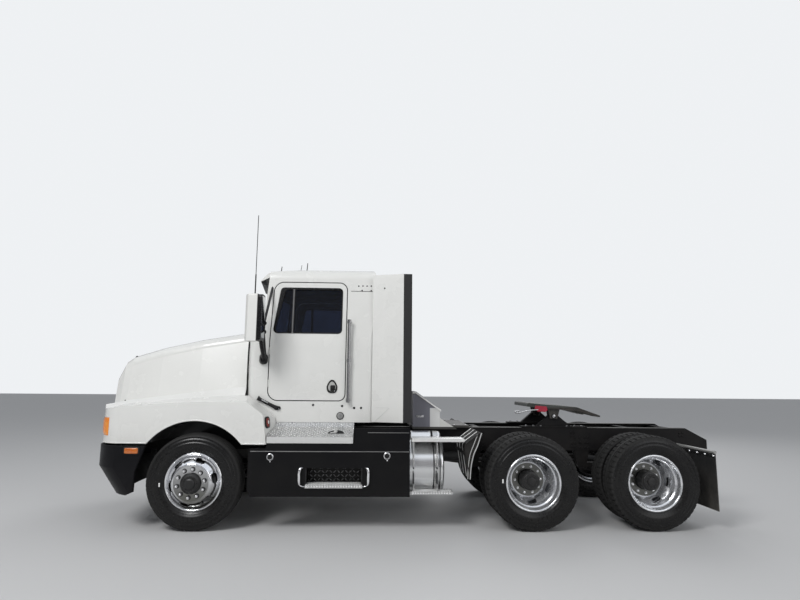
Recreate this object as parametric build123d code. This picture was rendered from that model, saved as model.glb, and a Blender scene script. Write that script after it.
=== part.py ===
from build123d import *
import math
import os

# Conventional day-cab truck tractor with a tandem drive, in millimetres.
# While it is modelled, x is zero at the front axle and grows to the rear, y is zero on the centre line with
# the driver's side negative, and z is zero on the ground. At the end the middle of its length goes to x zero.

# Overall places
front_x = -1150
rear_x = 5950
centre_x = (front_x + rear_x) / 2

# Tyres and wheels
tyre_radius = 500
tyre_tread_half = 96
tyre_side_half = 139
tyre_side_radius = 400
tyre_shoulder_radius = 481
tyre_shoulder_half = 121
bead_half = 104
rim_flange_radius = 298.5
rim_flange_half = 118
bead_radius = 286
well_radius = 259
well_half = 45
taper_radius = 276
taper_half = 60
rim_wall = 12
rim_inset = 168
disc_wall = 22
pilot_radius = 110
disc_flat_radius = 172
hand_hole_count = 6
hand_hole_circle = 233
hand_hole_half_width = 24
hand_hole_half_length = 54

# Axles
axle_height = tyre_radius
front_wheel_plane = 1050
outer_dual_plane = 1085
dual_spacing = 2 * rim_inset
inner_dual_plane = outer_dual_plane - dual_spacing
tandem_middle_x = 4258
tandem_spacing = 1320
drive_axle_x = [tandem_middle_x - tandem_spacing / 2, tandem_middle_x + tandem_spacing / 2]
bearing_gap = 0.08
drum_radius = 205
drum_wall = 12
drum_width = 180
hub_radius = 82

# Frame
rail_outer_y = 432
rail_flange = 88
rail_web = 9
rail_top = 1025
rail_height = 268
rail_front_x = -860
rail_taper_x = 5690
rail_tail_height = 130
crossmember_x = [-790, 1400, 2420, 3140, 4258, 5080, 5600]
crossmember_length = 70
crossmember_height = 140
crossmember_top_gap = 20
crossmember_wall = 8

# Front axle and steering
kingpin_y = 880
kingpin_radius = 22
kingpin_boss_radius = 48
kingpin_boss_half = 70
knuckle_ear = 40
knuckle_gap = 5
beam_half_width = 50
beam_depth = 90
beam_drop = 75
beam_bend_y = 690
beam_flat_y = 520
spindle_radius = 40
steer_arm_reach = 210
steer_arm_thickness = 30
steer_arm_width = 46
tie_rod_radius = 19
tie_pin_radius = 14
tie_eye_radius = 30

# Springs
front_spring_y = 385
front_spring_width = 88
front_spring_half = 640
leaf_thickness = 14
leaf_count = 3
leaf_step = 150
spring_rise = 120
spring_end_flat = 120
air_spring_radius = 118
air_spring_offset = 430
beam_arm_width = 76
beam_arm_depth = 56
beam_arm_reach = 520

# Engine, gearbox and radiator
engine_x = [-700, 430]
engine_half_width = 330
engine_z = [640, 1690]
gearbox_end_x = 1280
gearbox_radius = 220
gearbox_z = 860
gearbox_drop = 60
shaft_radius = 50
shaft_flange_gap = 6
axle_bowl_radius = 210
axle_bowl_depth = 190
axle_nose_radius = 95
axle_nose_reach = 330
axle_nose_rise = 60
radiator_x = [-905, -810]
radiator_half_width = 370
radiator_z = [1030, 1760]
muffler_x = [620, 1500]
muffler_y = 660
muffler_z = 700
muffler_radius = 125
exhaust_radius = 52
air_tank_x = [2480, 3000]
air_tank_y = 210
air_tank_z = 700
air_tank_radius = 105

# Hood and fenders
hood_wall = 10
hood_rear_x = 455
hood_bottom_z = 888
nose_lip_z = 930
nose_corner_x = -1082
nose_corner_y = 760
nose_centre_x = -1122
fender_corner_x = -1030
fender_corner_y = 1000
fender_side_x = -830
fender_side_y = 1125
fender_tail_x = 900
fender_tail_y = 1182
fender_tail_inner_y = 1000
arch_radius = 650
arch_centre_x = -22
arch_centre_z = 480
arch_inner_y = 572
liner_wall = 8
lamp_proud = 3
lamp_x = [-1150, -985]
lamp_z = [970, 1150]
turn_lamp_y = [-1100, -905]
head_lamp_y = [-885, -600]
hood_pivot_x = -1060
hood_pivot_z = 800
hood_pivot_y = 400
hood_pin_radius = 15
hood_ear_wall = 24
hood_ear_radius = 24
hood_ear_reach = 125
hood_ear_throat = 75

# Cab
cab_front_x = 470
cab_rear_x = 1885
cab_bottom_z = 1110
cab_half_width = 980
cab_belt_z = 2000
roof_half_width = 908
cab_eave_z = 2700
roof_side_z = 2842
roof_crown_z = 2894
roof_rear_rise = 26
roof_crest_x = 1450
roof_crest_radius = 2500
roof_rear_radius = 90
roof_brow_radius = 120
eave_radius = 130
belt_radius = 900
cab_corner_radius = 75
screen_reveal = 2
cab_wall = 45
cowl_top_z = 2130
screen_base_x = 480
screen_sweep = 0.135
screen_rake = 0.095
roof_front_x = 560
roof_front_z = 2800
floor_top_z = 1310
floor_thickness = 45
glass_inset = 18
glass_thickness = 6

# Doors
door_front_x = 706
door_rear_x = 1552
door_bottom_z = 1348
door_top_z = 2678
door_gap = 11
door_hinge_out = 4
hinge_barrel_z = [1490, 1850]
hinge_barrel_length = 80
hinge_barrel_radius = 6
window_bottom_z = 2094
window_top_z = 2600
window_rear_x = 1502
window_front_low_x = 742
window_front_high_x = 850
window_corner = 45
vent_bar_x = 948
vent_bar_width = 26

# Outside fittings
bumper_top_z = 868
bumper_bend_z = 648
bumper_bottom_z = 365
bumper_wall = 42
bumper_sweep = 200
bumper_corner_y = 760
bumper_corner_x = -1105
bumper_middle_x = -1030
bumper_middle_y = 1040
bumper_end_x = -440
bumper_side_x = -830
bumper_side_y = 1188
bumper_foot_x = -709
bumper_heel_x = -612
bumper_heel_z = 400
bumper_back_x = -606
bumper_back_z = 610
bumper_top_x = -512
visor_thickness = 14
visor_half_width = 900
visor_z = [2690, 2795]
visor_reach = 96
visor_root = 40
visor_drop = 8
# Mirror head in plan: x, y; and its tube from the cab's eave round to its foot: x, distance outboard, z
mirror_plan = [(502, -1345), (540, -1420), (650, -1425), (650, -1225), (540, -1232), (502, -1290)]
mirror_head_z = [1972, 2473]
mirror_corner = 18
mirror_end_radius = 16
mirror_tube = [(700, 900, 2645), (672, 1190, 2180), (672, 1190, 2085), (655, 960, 1812)]
mirror_tube_radius = 14
mirror_clamp_x = 645
mirror_clamp_reach = 70
mirror_foot_radius = 38
whip_place = (592, 1330)
whip_tip_z = 3350
whip_base_radius = 7
whip_radius = 4
whip_lean_right = 120
extender_wall = 28
extender_lap = 30
extender_bow_x = 170
extender_bow_y = 68
extender_rear_x = 2200
extender_rear_y = 1100
extender_top_z = 2768
extender_bottom_z = 1115
strip_rear_x = 2295
strip_thickness = 12
skirt_y = 1200
skirt_wall = 14
skirt_bottom_z = 358
skirt_front_x = 566
skirt_rear_x = 2273
skirt_front_top_z = 850
skirt_rear_top_z = 1066
skirt_bracket_x = [570, 1715]
skirt_bracket_width = 40
skirt_bracket_z = [780, 840]
step_lip_z = [905, 970]
step_x = [752, 1665]
step_wall = 12
step_fold_y = 1035
step_fold_z = 1062
step_top_y = 990
step_lean = 30
tail_gap = 6
grab_x = 1592
grab_z = [1334, 2445]
grab_stand = 44
grab_radius = 15
side_step_x = [1173, 1770]
side_step_z = [448, 650]
side_step_depth = 190
side_step_proud = 18
side_step_thickness = 34
step_rod_radius = 6
tank_radius = 280
tank_centre_y = 850
tank_centre_z = 640
tank_x = [1800, 2650]
tank_rim_radius = 28
strap_x = [1950, 2285, 2540]
strap_width = 60
strap_thickness = 5
tank_step_x = [2294, 2860]
upper_tank_step_z = [925, 956]
lower_tank_step_z = [384, 412]
tank_step_inner_y = 930
lower_tank_step_inner_y = 1035
lower_tank_step_rear_x = 2730
tank_hanger_x = [2310, 2560]
tank_hanger_wall = 10
deck_x = [2310, 3020]
deck_half_width = 500
deck_thickness = 25
box_x = [2330, 2640]
box_y = [-760, -120]
box_front_z = 1440
box_rear_z = 1235
box_ridge = 30
box_lid = 10
wedge_end_x = 2840
wedge_top_z = 1150
# Quarter fender, from its top edge over the fold to its foot: x, z
quarter_points = [(3040, 1025), (2862, 894), (2913, 535)]
quarter_sheet_shift = (-9, 4)
quarter_fold_radius = 70
quarter_bracket = (2868, 800)
quarter_bracket_radius = 20
dual_outer_y = outer_dual_plane + tyre_side_half
dual_inner_y = inner_dual_plane - tyre_side_half
flap_x = 5570
flap_thickness = 10
flap_bottom_z = 217
flap_top_z = 815
hanger_radius = 16

# Fifth wheel
plate_pivot_x = 4070
plate_pivot_z = 1160
plate_rest_tilt = 4.4
plate_half_width = 457
plate_thickness = 46
plate_top_over_pivot = 132
plate_front = 306
plate_rear = 270
ramp_reach = 575
ramp_drop = 78
jaw_radius = 25.5
pedestal_y = 372
pedestal_wall = 60
pedestal_base = 420
foot_half_length = 400
foot_thickness = 16
throat_half_width = 105
throat_mouth_half = 150
plate_corner = 120
plate_pin_radius = 28

# Inside
seat_width = 500
seat_x = [1080, 1560]
seat_y = 480
seat_cushion_z = [1640, 1790]
seat_base_z = floor_top_z
seat_back_top_z = 2400
seat_back_depth = 110
seat_back_lean = 30
seat_edge_radius = 28
dash_x = [540, 800]
dash_z = [1700, 2085]
dash_side_gap = 35
steering_wheel_radius = 225
steering_wheel_tube = 15
steering_wheel_x = 985
steering_wheel_z = 2010
column_lean = 42
column_radius = 26
column_length = 420
column_top_gap = 34
wheel_hub_radius = 42
wheel_spoke_width = 26


def side_face(points, radii=0):
    """Closed outline of (x, z) points with rounded corners, on the centre plane."""
    wire = FilletPolyline([(x, z) for x, z in points], radius=radii, close=True)
    plane = Plane(origin=(0, 0, 0), x_dir=(1, 0, 0), z_dir=(0, -1, 0))
    return plane * make_face(wire)


def slab(points, y_low, y_high, radii=0):
    """Side outline carried across from y_low to y_high."""
    return Pos(0, y_high, 0) * extrude(side_face(points, radii), amount=y_high - y_low)


def front_bar(points, x_low, x_high, radii=0):
    """Outline of (y, z) points carried along x."""
    wire = FilletPolyline([(y, z) for y, z in points], radius=radii, close=True)
    plane = Plane(origin=(x_low, 0, 0), x_dir=(0, 1, 0), z_dir=(1, 0, 0))
    return extrude(plane * make_face(wire), amount=x_high - x_low)


def plan_plate(points, z_low, z_high, radii=0):
    """Outline of (x, y) points carried upward."""
    wire = FilletPolyline([(x, y) for x, y in points], radius=radii, close=True)
    return Pos(0, 0, z_low) * extrude(make_face(wire), amount=z_high - z_low)


def block(x_span, y_span, z_span):
    """Rectangular block between three pairs of limits."""
    size = [abs(span[1] - span[0]) for span in (x_span, y_span, z_span)]
    middle = [(span[1] + span[0]) / 2 for span in (x_span, y_span, z_span)]
    return Pos(*middle) * Box(*size)


def rod(start, end, radius):
    """Round bar between two points."""
    a, b = Vector(*start), Vector(*end)
    plane = Plane(origin=a, z_dir=b - a)
    return extrude(plane * Circle(radius), amount=(b - a).length)


def across_rod(x, z, y_low, y_high, radius):
    """Round bar that runs across the truck."""
    return rod((x, y_low, z), (x, y_high, z), radius)


def turned(points):
    """Solid of revolution about the y axis from (radius, y) points."""
    return revolve(make_face(Polyline(*points, close=True)), axis=Axis.Y)


def both_sides(shape):
    """The shape and its mirror image on the other side."""
    return group(shape, mirror(shape, about=Plane.XZ))


def group(*shapes):
    """Separate solids held in one node."""
    return Compound(children=[solid for shape in shapes for solid in shape.solids()])


# Wheels
def wheel_with_disc():
    """Rim and disc of one wheel about the origin, its disc outset towards -y."""
    barrel_outside = [
        (rim_flange_radius, rim_flange_half),
        (rim_flange_radius, bead_half),
        (bead_radius, bead_half),
        (taper_radius, taper_half),
        (well_radius, well_half),
    ]
    outside = barrel_outside + [(r, -a) for r, a in reversed(barrel_outside)]
    barrel_inside = [
        (bead_radius - rim_wall, -rim_flange_half),
        (taper_radius - rim_wall, -taper_half),
        (well_radius - rim_wall, -well_half),
    ]
    inside = barrel_inside + [(r, -a) for r, a in reversed(barrel_inside)]
    rim = turned(outside + inside)
    seat_y = -rim_inset
    face_y = seat_y - disc_wall
    shoulder = disc_flat_radius + 30
    disc_root = taper_radius - rim_wall / 3
    disc = turned([
        (pilot_radius, seat_y),
        (disc_flat_radius, seat_y),
        (shoulder - disc_wall / 2, seat_y + disc_wall),
        (disc_root, -taper_half),
        (disc_root, -taper_half - disc_wall),
        (shoulder + disc_wall / 2, face_y + disc_wall),
        (disc_flat_radius + disc_wall, face_y),
        (pilot_radius, face_y),
    ])
    return rim + disc


def hand_holes():
    """Round-ended slots through the disc's cone, clear of the rim's well."""
    slot = SlotCenterToCenter(2 * (hand_hole_half_length - hand_hole_half_width), 2 * hand_hole_half_width)
    cutter = Pos(0, -taper_half, 0) * Plane.XZ * extrude(Pos(hand_hole_circle, 0) * Rot(0, 0, 90) * slot, amount=400)
    return [Rot(0, 360 / hand_hole_count * i, 0) * cutter for i in range(hand_hole_count)]


def tyre():
    """Closed casing about the origin, seated on the rim's tapers."""
    edge = [
        (bead_radius, -bead_half),
        (rim_flange_radius + 2, -bead_half),
        (tyre_side_radius - 62, -tyre_side_half + 9),
        (tyre_side_radius, -tyre_side_half),
        (tyre_side_radius + 50, -tyre_side_half + 4),
        (tyre_shoulder_radius, -tyre_shoulder_half),
        (tyre_radius, -tyre_tread_half),
    ]
    seat = [(taper_radius, -taper_half)]
    other = [(r, -a) for r, a in reversed(edge)]
    return turned(seat + edge + other + [(taper_radius, taper_half)])


def hub_and_drum(seat_y, cap_y, bore_radius, bore_end_y, drum_open_y):
    """Hub from the disc's seat to its cap, with a brake drum inboard; places are distances outboard."""
    flange = 20
    hub = turned([
        (0, -cap_y),
        (hub_radius - 22, -cap_y),
        (hub_radius, -cap_y + 20),
        (pilot_radius, -seat_y - disc_wall),
        (pilot_radius, -seat_y),
        (disc_flat_radius, -seat_y),
        (disc_flat_radius, -seat_y + flange),
        (bore_radius + 30, -seat_y + flange),
        (bore_radius + 30, -drum_open_y - 20),
        (bore_radius, -drum_open_y - 20),
        (bore_radius, -bore_end_y),
        (0, -bore_end_y),
    ])
    drum = turned([
        (disc_flat_radius - 10, -seat_y + flange),
        (drum_radius, -seat_y + flange),
        (drum_radius, -drum_open_y),
        (drum_radius - drum_wall, -drum_open_y),
        (drum_radius - drum_wall, -seat_y + flange + drum_wall),
        (disc_flat_radius - 10, -seat_y + flange + drum_wall),
    ])
    web = turned([
        (bore_radius + 10, -seat_y + flange),
        (disc_flat_radius, -seat_y + flange),
        (disc_flat_radius, -seat_y + flange + drum_wall),
        (bore_radius + 10, -seat_y + flange + drum_wall),
    ])
    bore = turned([(0, -bore_end_y), (bore_radius, -bore_end_y), (bore_radius, 0), (0, 0)])
    return (hub + drum + web) - bore


spindle_end_y = front_wheel_plane + rim_inset + 30
front_drum_open_y = front_wheel_plane + rim_inset - 20 - drum_width
drive_tube_radius = 60
drive_seat_y = (outer_dual_plane + inner_dual_plane) / 2
drive_tube_end_y = drive_seat_y + 70
drive_drum_open_y = drive_seat_y - disc_wall - 20 - drum_width
front_cap_y = front_wheel_plane + rim_inset + 92
drive_cap_y = drive_seat_y + 200


def front_wheel_nodes():
    """Tyre and wheel of the driver's side front, at the axle."""
    rim = wheel_with_disc()
    for cutter in hand_holes():
        rim = rim - cutter
    rim = Pos(0, -front_wheel_plane, 0) * rim
    hub = hub_and_drum(
        front_wheel_plane + rim_inset, front_cap_y, spindle_radius + bearing_gap, spindle_end_y, front_drum_open_y
    )
    place = Pos(0, 0, axle_height)
    return place * Pos(0, -front_wheel_plane, 0) * tyre(), place * (rim + hub)


def dual_wheel_nodes(axle_x):
    """Two tyres, and two wheels on one hub, of the driver's side of a drive axle."""
    outer = wheel_with_disc()
    for cutter in hand_holes():
        outer = outer - cutter
    outer = Pos(0, -outer_dual_plane, 0) * mirror(outer, about=Plane.XZ)
    inner = Pos(0, -inner_dual_plane, 0) * wheel_with_disc()
    hub = hub_and_drum(
        drive_seat_y - disc_wall,
        drive_cap_y,
        drive_tube_radius + bearing_gap,
        drive_tube_end_y,
        drive_drum_open_y,
    )
    place = Pos(axle_x, 0, axle_height)
    tyres = group(Pos(0, -outer_dual_plane, 0) * tyre(), Pos(0, -inner_dual_plane, 0) * tyre())
    return place * tyres, place * (outer + inner + hub)


# Frame
def frame_rail():
    """Driver's side channel rail, open to the middle, its tail tapered from above."""
    bottom = rail_top - rail_height
    outline = [
        (rail_front_x, bottom),
        (rear_x, bottom),
        (rear_x, bottom + rail_tail_height),
        (rail_taper_x, rail_top),
        (rail_front_x, rail_top),
    ]
    web = slab(outline, -rail_outer_y, -rail_outer_y + rail_web)
    solid = slab(outline, -rail_outer_y, -rail_outer_y + rail_flange)
    inside = [
        (rail_front_x - 1, bottom + rail_web),
        (rear_x + 1, bottom + rail_web),
        (rear_x + 1, bottom + rail_tail_height - rail_web),
        (rail_taper_x, rail_top - rail_web),
        (rail_front_x - 1, rail_top - rail_web),
    ]
    return web + (solid - slab(inside, -rail_outer_y + rail_web, -rail_outer_y + rail_flange + 1))


def crossmember(x):
    """Channel between the rail webs, open to the rear."""
    half = rail_outer_y - rail_web
    high = rail_top - crossmember_top_gap
    low = high - crossmember_height
    outline = [
        (x, low),
        (x + crossmember_length, low),
        (x + crossmember_length, low + crossmember_wall),
        (x + crossmember_wall, low + crossmember_wall),
        (x + crossmember_wall, high - crossmember_wall),
        (x + crossmember_length, high - crossmember_wall),
        (x + crossmember_length, high),
        (x, high),
    ]
    return slab(outline, -half, half)


# Front axle
beam_high_z = axle_height - beam_drop + beam_depth / 2


def front_axle_beam():
    """Dropped beam with a boss and kingpin at each end."""
    half = beam_depth / 2
    top = [
        (-kingpin_y, axle_height + half),
        (-beam_bend_y, axle_height + half),
        (-beam_flat_y, beam_high_z),
        (beam_flat_y, beam_high_z),
        (beam_bend_y, axle_height + half),
        (kingpin_y, axle_height + half),
    ]
    bottom = [(y, z - beam_depth) for y, z in reversed(top)]
    beam = front_bar(top + bottom, -beam_half_width, beam_half_width)
    for side in (-1, 1):
        boss_low = (0, side * kingpin_y, axle_height - kingpin_boss_half)
        boss_high = (0, side * kingpin_y, axle_height + kingpin_boss_half)
        pin_low = (0, side * kingpin_y, axle_height - kingpin_boss_half - knuckle_gap - knuckle_ear)
        pin_high = (0, side * kingpin_y, axle_height + kingpin_boss_half + knuckle_gap + knuckle_ear)
        beyond = block((-80, 80), sorted((side * kingpin_y, side * (kingpin_y + 80))), (400, 600))
        beam = (beam - beyond) + rod(boss_low, boss_high, kingpin_boss_radius)
        beam = beam + rod(pin_low, pin_high, kingpin_radius)
    return beam


knuckle_plate_y = kingpin_y + kingpin_boss_radius + 8
knuckle_plate_wall = 26
ear_low_z = axle_height - kingpin_boss_half - knuckle_gap - knuckle_ear
ear_high_z = axle_height + kingpin_boss_half + knuckle_gap
arm_pin_x = steer_arm_reach
arm_z = ear_low_z - steer_arm_thickness


def knuckle():
    """Driver's side knuckle: two ears on the kingpin, a plate, the spindle and the tie rod arm."""
    body = block(
        (-70, 70), (-knuckle_plate_y - knuckle_plate_wall, -knuckle_plate_y), (ear_low_z, ear_high_z + knuckle_ear)
    )
    for z in (ear_low_z, ear_high_z):
        ear = block((-48, 48), (-knuckle_plate_y - 1, -kingpin_y), (z, z + knuckle_ear))
        ear = ear + rod((0, -kingpin_y, z), (0, -kingpin_y, z + knuckle_ear), kingpin_boss_radius)
        body = body + ear
    arm = plan_plate(
        [
            (-40, -knuckle_plate_y - knuckle_plate_wall),
            (40, -knuckle_plate_y - knuckle_plate_wall),
            (arm_pin_x + steer_arm_width / 2, -kingpin_y - steer_arm_width / 2),
            (arm_pin_x + steer_arm_width / 2, -kingpin_y + steer_arm_width / 2),
            (-40, -kingpin_y + steer_arm_width / 2),
        ],
        arm_z,
        ear_low_z,
    )
    spindle_start_y = -knuckle_plate_y - knuckle_plate_wall
    body = body + arm + across_rod(0, axle_height, -spindle_end_y + 1, spindle_start_y, spindle_radius)
    shield_y = -front_drum_open_y + 6
    body = body + across_rod(0, axle_height, shield_y, shield_y + 8, drum_radius - drum_wall - 6)
    body = body + across_rod(0, axle_height, shield_y, spindle_start_y, spindle_radius + 12)
    bore_radius = kingpin_radius + bearing_gap
    body = body - rod((0, -kingpin_y, arm_z - 1), (0, -kingpin_y, ear_high_z + knuckle_ear + 1), bore_radius)
    pin = rod((arm_pin_x, -kingpin_y, arm_z - 44), (arm_pin_x, -kingpin_y, arm_z), tie_pin_radius)
    return body + pin


def tie_rod():
    """Tube between the two arm pins, with an eye on each."""
    z = arm_z - 24
    shape = across_rod(arm_pin_x, z, -kingpin_y + tie_eye_radius - 6, kingpin_y - tie_eye_radius + 6, tie_rod_radius)
    for side in (-1, 1):
        eye_low = (arm_pin_x, side * kingpin_y, z - 16)
        eye_high = (arm_pin_x, side * kingpin_y, z + 16)
        shape = shape + rod(eye_low, eye_high, tie_eye_radius)
        shape = shape - rod(eye_low, eye_high, tie_pin_radius + bearing_gap)
    return shape


# Suspension
def front_spring():
    """Driver's side leaf pack on the beam, with a hanger at each end up to the rail."""
    y_span = (-front_spring_y - front_spring_width / 2, -front_spring_y + front_spring_width / 2)
    base = beam_high_z
    shape = block((-90, 90), y_span, (base, base + 20))
    for i in range(leaf_count):
        half = front_spring_half - i * leaf_step
        low = base + 20 + (leaf_count - 1 - i) * leaf_thickness
        rise = spring_rise * (half - spring_end_flat) / (front_spring_half - spring_end_flat)
        outline = [
            (-half, low + rise),
            (-spring_end_flat, low),
            (spring_end_flat, low),
            (half, low + rise),
            (half, low + rise + leaf_thickness),
            (spring_end_flat, low + leaf_thickness),
            (-spring_end_flat, low + leaf_thickness),
            (-half, low + rise + leaf_thickness),
        ]
        shape = shape + slab(outline, *y_span)
    eye_z = base + 20 + (leaf_count - 1) * leaf_thickness + spring_rise
    for end in (-1, 1):
        hanger = block(
            sorted((end * (front_spring_half - 40), end * (front_spring_half + 30))),
            y_span,
            (eye_z, rail_top - rail_height),
        )
        shape = shape + hanger
    return shape


def drive_axle(axle_x):
    """Tubular housing with a round bowl, a cover and an input nose."""
    shape = across_rod(axle_x, axle_height, -drive_tube_end_y + 1, drive_tube_end_y - 1, drive_tube_radius)
    bowl = Pos(axle_x, 0, axle_height) * Rot(0, 90, 0) * Cylinder(axle_bowl_radius, axle_bowl_depth)
    nose_end = (axle_x - axle_nose_reach, 0, axle_height + axle_nose_rise)
    nose = rod((axle_x, 0, axle_height + axle_nose_rise / 2), nose_end, axle_nose_radius)
    return shape + bowl + nose


def propeller_shafts():
    """Shaft from the gearbox to the forward drive axle, and the short one between the axles."""
    nose_z = axle_height + axle_nose_rise
    start = (gearbox_end_x + shaft_flange_gap, 0, gearbox_z - gearbox_drop)
    long_shaft = rod(start, (drive_axle_x[0] - axle_nose_reach, 0, nose_z), shaft_radius)
    between_start = (drive_axle_x[0] + axle_bowl_depth / 2 - 5, 0, axle_height + axle_nose_rise)
    between = rod(between_start, (drive_axle_x[1] - axle_nose_reach, 0, nose_z), shaft_radius)
    return long_shaft + between


def suspension_arm(axle_x):
    """Driver's side hanger ahead of an axle, its trailing arm and the air spring behind."""
    y_span = (-rail_outer_y + 6, -rail_outer_y + 6 + beam_arm_width)
    rail_bottom = rail_top - rail_height
    hanger_x = axle_x - beam_arm_reach
    arm_top = axle_height + drive_tube_radius + beam_arm_depth
    hanger = slab(
        [
            (hanger_x - 90, rail_bottom),
            (hanger_x + 90, rail_bottom),
            (hanger_x + 50, arm_top - beam_arm_depth),
            (hanger_x - 50, arm_top - beam_arm_depth),
        ],
        *y_span,
    )
    arm = slab(
        [
            (hanger_x, arm_top - beam_arm_depth),
            (axle_x + 110, arm_top - beam_arm_depth - 4),
            (axle_x + air_spring_offset + 60, axle_height - 60),
            (axle_x + air_spring_offset + 60, axle_height - 60 + 30),
            (axle_x + 130, arm_top),
            (hanger_x, arm_top),
        ],
        *y_span,
    )
    seat_z = axle_height - 60 + 30
    bag_y = -rail_outer_y + 6 + beam_arm_width / 2
    bag_x = axle_x + air_spring_offset - 20
    bag = rod((bag_x, bag_y, seat_z - 12), (bag_x, bag_y, rail_bottom), air_spring_radius)
    tube_clear = across_rod(axle_x, axle_height, -rail_outer_y, 0, drive_tube_radius)
    return (hanger + arm + bag) - tube_clear


# Engine and cooling
def powertrain_block():
    """Engine as a plain block, with the bell housing and gearbox behind it."""
    engine = block(engine_x, (-engine_half_width, engine_half_width), engine_z)
    gearbox = rod((engine_x[1] - 5, 0, gearbox_z), (gearbox_end_x, 0, gearbox_z - gearbox_drop), gearbox_radius)
    return engine + gearbox


# Hood and fenders
def swept_plan(nose_x, corner, middle, side, tail, inset):
    """Plan symmetric about the centre line: nose arc, corner arcs and straight sides, set in by a wall."""
    def over(point):
        return point[0], -point[1]

    plan = make_face([
        ThreePointArc(over(corner), (nose_x, 0), corner),
        ThreePointArc(corner, middle, side),
        Line(side, tail),
        Line(tail, over(tail)),
        Line(over(tail), over(side)),
        ThreePointArc(over(side), over(middle), over(corner)),
    ])
    return offset(plan, amount=-inset, kind=Kind.TANGENT) if inset else plan


def plan_outline(inset):
    """Plan of the nose and fenders, set in by a wall."""
    corner = (nose_corner_x, nose_corner_y)
    middle = (fender_corner_x, fender_corner_y)
    side = (fender_side_x, fender_side_y)
    tail = (fender_tail_x, fender_tail_y)
    return swept_plan(nose_centre_x, corner, middle, side, tail, inset)


# Stations of the fender band: x, z of its crease at the hood's side, z of the fender's outer crease
band_stations = [(-1150, 1272, 1200), (-830, 1335, 1275), (-100, 1430, 1330), (500, 1500, 1352), (920, 1530, 1370)]
band_inner_y = 920
band_valley_y = 975
band_valley_share = 0.36
band_outer_y = 1125
wide_y = 1260

# Edges of the fender's slanted rear face from its foot up: x, y, z at the side, then x, z at the inner edge
tail_edges = [
    (739, 1186, 880, 822, 1060),
    (705, 1160, 1195, 763, 1197),
    (500, 1125, 1360, 488, 1455),
]
tail_inner_y = 985

# Stations of the hood above the band: x, half width at the foot, half width at the shoulder, z of the crown
hood_stations = [
    (-1150, 655, 600, 1535),
    (-1078, 690, 625, 1680),
    (-1010, 735, 650, 1805),
    (-925, 775, 662, 1862),
    (-560, 850, 712, 1968),
    (-100, 905, 750, 2066),
    (hood_rear_x, 935, 780, 2152),
]
hood_foot_z = 1260
hood_corner_radius = 110
hood_crown_rise = 34


def section_plane(x):
    return Plane(origin=(x, 0, 0), x_dir=(0, 1, 0), z_dir=(1, 0, 0))


def fender_body(inset, bottom):
    """Wide lower body under the hood with its hollow band, down to the given height, set in by a wall."""
    faces = []
    for x, inner_z, outer_z in band_stations:
        valley_z = outer_z + band_valley_share * (inner_z - outer_z)
        slope = (valley_z - outer_z) / (band_outer_y - band_valley_y)
        edge_z = outer_z - slope * (wide_y - band_outer_y)
        half = [(wide_y, edge_z), (band_valley_y, valley_z), (band_inner_y, inner_z)]
        lowered = [(y, z - inset) for y, z in half]
        across = [(-y, z) for y, z in reversed(lowered)]
        points = [(-wide_y, bottom), (wide_y, bottom)] + lowered + across
        faces.append(section_plane(x) * make_face(Polyline(*points, close=True)))
    body = loft(faces, ruled=True)
    plan = extrude(Pos(0, 0, bottom) * plan_outline(inset), amount=1200)
    return body & plan


def hood_section(foot, shoulder, crown_z, corner):
    """Cross-section of the hood: leaning sides, a round shoulder and a low crown."""
    shoulder_z = crown_z - hood_crown_rise - corner
    edge_y, edge_z = shoulder - corner, crown_z - hood_crown_rise
    middle = (shoulder - corner * (1 - math.sqrt(0.5)), shoulder_z + corner * math.sqrt(0.5))
    return make_face([
        Line((-foot, hood_foot_z), (foot, hood_foot_z)),
        Line((foot, hood_foot_z), (shoulder, shoulder_z)),
        ThreePointArc((shoulder, shoulder_z), middle, (edge_y, edge_z)),
        ThreePointArc((edge_y, edge_z), (0, crown_z), (-edge_y, edge_z)),
        ThreePointArc((-edge_y, edge_z), (-middle[0], middle[1]), (-shoulder, shoulder_z)),
        Line((-shoulder, shoulder_z), (-foot, hood_foot_z)),
    ])


def hood_body(inset):
    """Tapering upper body of the hood, set in by a wall."""
    corner = hood_corner_radius - inset
    faces = [
        section_plane(x) * hood_section(foot - inset, shoulder - inset, crown_z - inset, corner)
        for x, foot, shoulder, crown_z in hood_stations
    ]
    body = loft(faces, ruled=True)
    plan = extrude(Pos(0, 0, hood_foot_z - 200) * plan_outline(inset), amount=1400)
    return body & plan


def tail_cut(inset):
    """What is cut away behind the fender's slanted rear face."""
    corners = []
    for side_x, side_y, side_z, inner_x, inner_z in tail_edges:
        corners.append((Vector(side_x, -side_y, side_z), Vector(inner_x, -tail_inner_y, inner_z)))
    cuts = []
    for (a, b), (c, _) in zip(corners, corners[1:]):
        normal = (b - a).cross(c - a).normalized()
        if normal.X < 0:
            normal = -normal
        plane = Plane(origin=a - normal * inset, z_dir=normal)
        z_span = (hood_bottom_z - 100, hood_foot_z + 400)
        behind = block((hood_rear_x, fender_tail_x + 100), (-wide_y - 100, 0), z_span)
        cuts.append(extrude(plane * Rectangle(4 * wide_y, 4 * wide_y), amount=wide_y) & behind)
    return cuts


def tail_room(gap):
    """The fender's tail grown by a gap, which the step behind it keeps clear of."""
    y_span = (-fender_tail_y - gap, -fender_tail_inner_y + gap)
    form = block((hood_rear_x, fender_tail_x), y_span, (hood_bottom_z - 2 * gap, hood_foot_z + 200))
    for cut in tail_cut(-gap):
        form = form - cut
    return form


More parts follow.
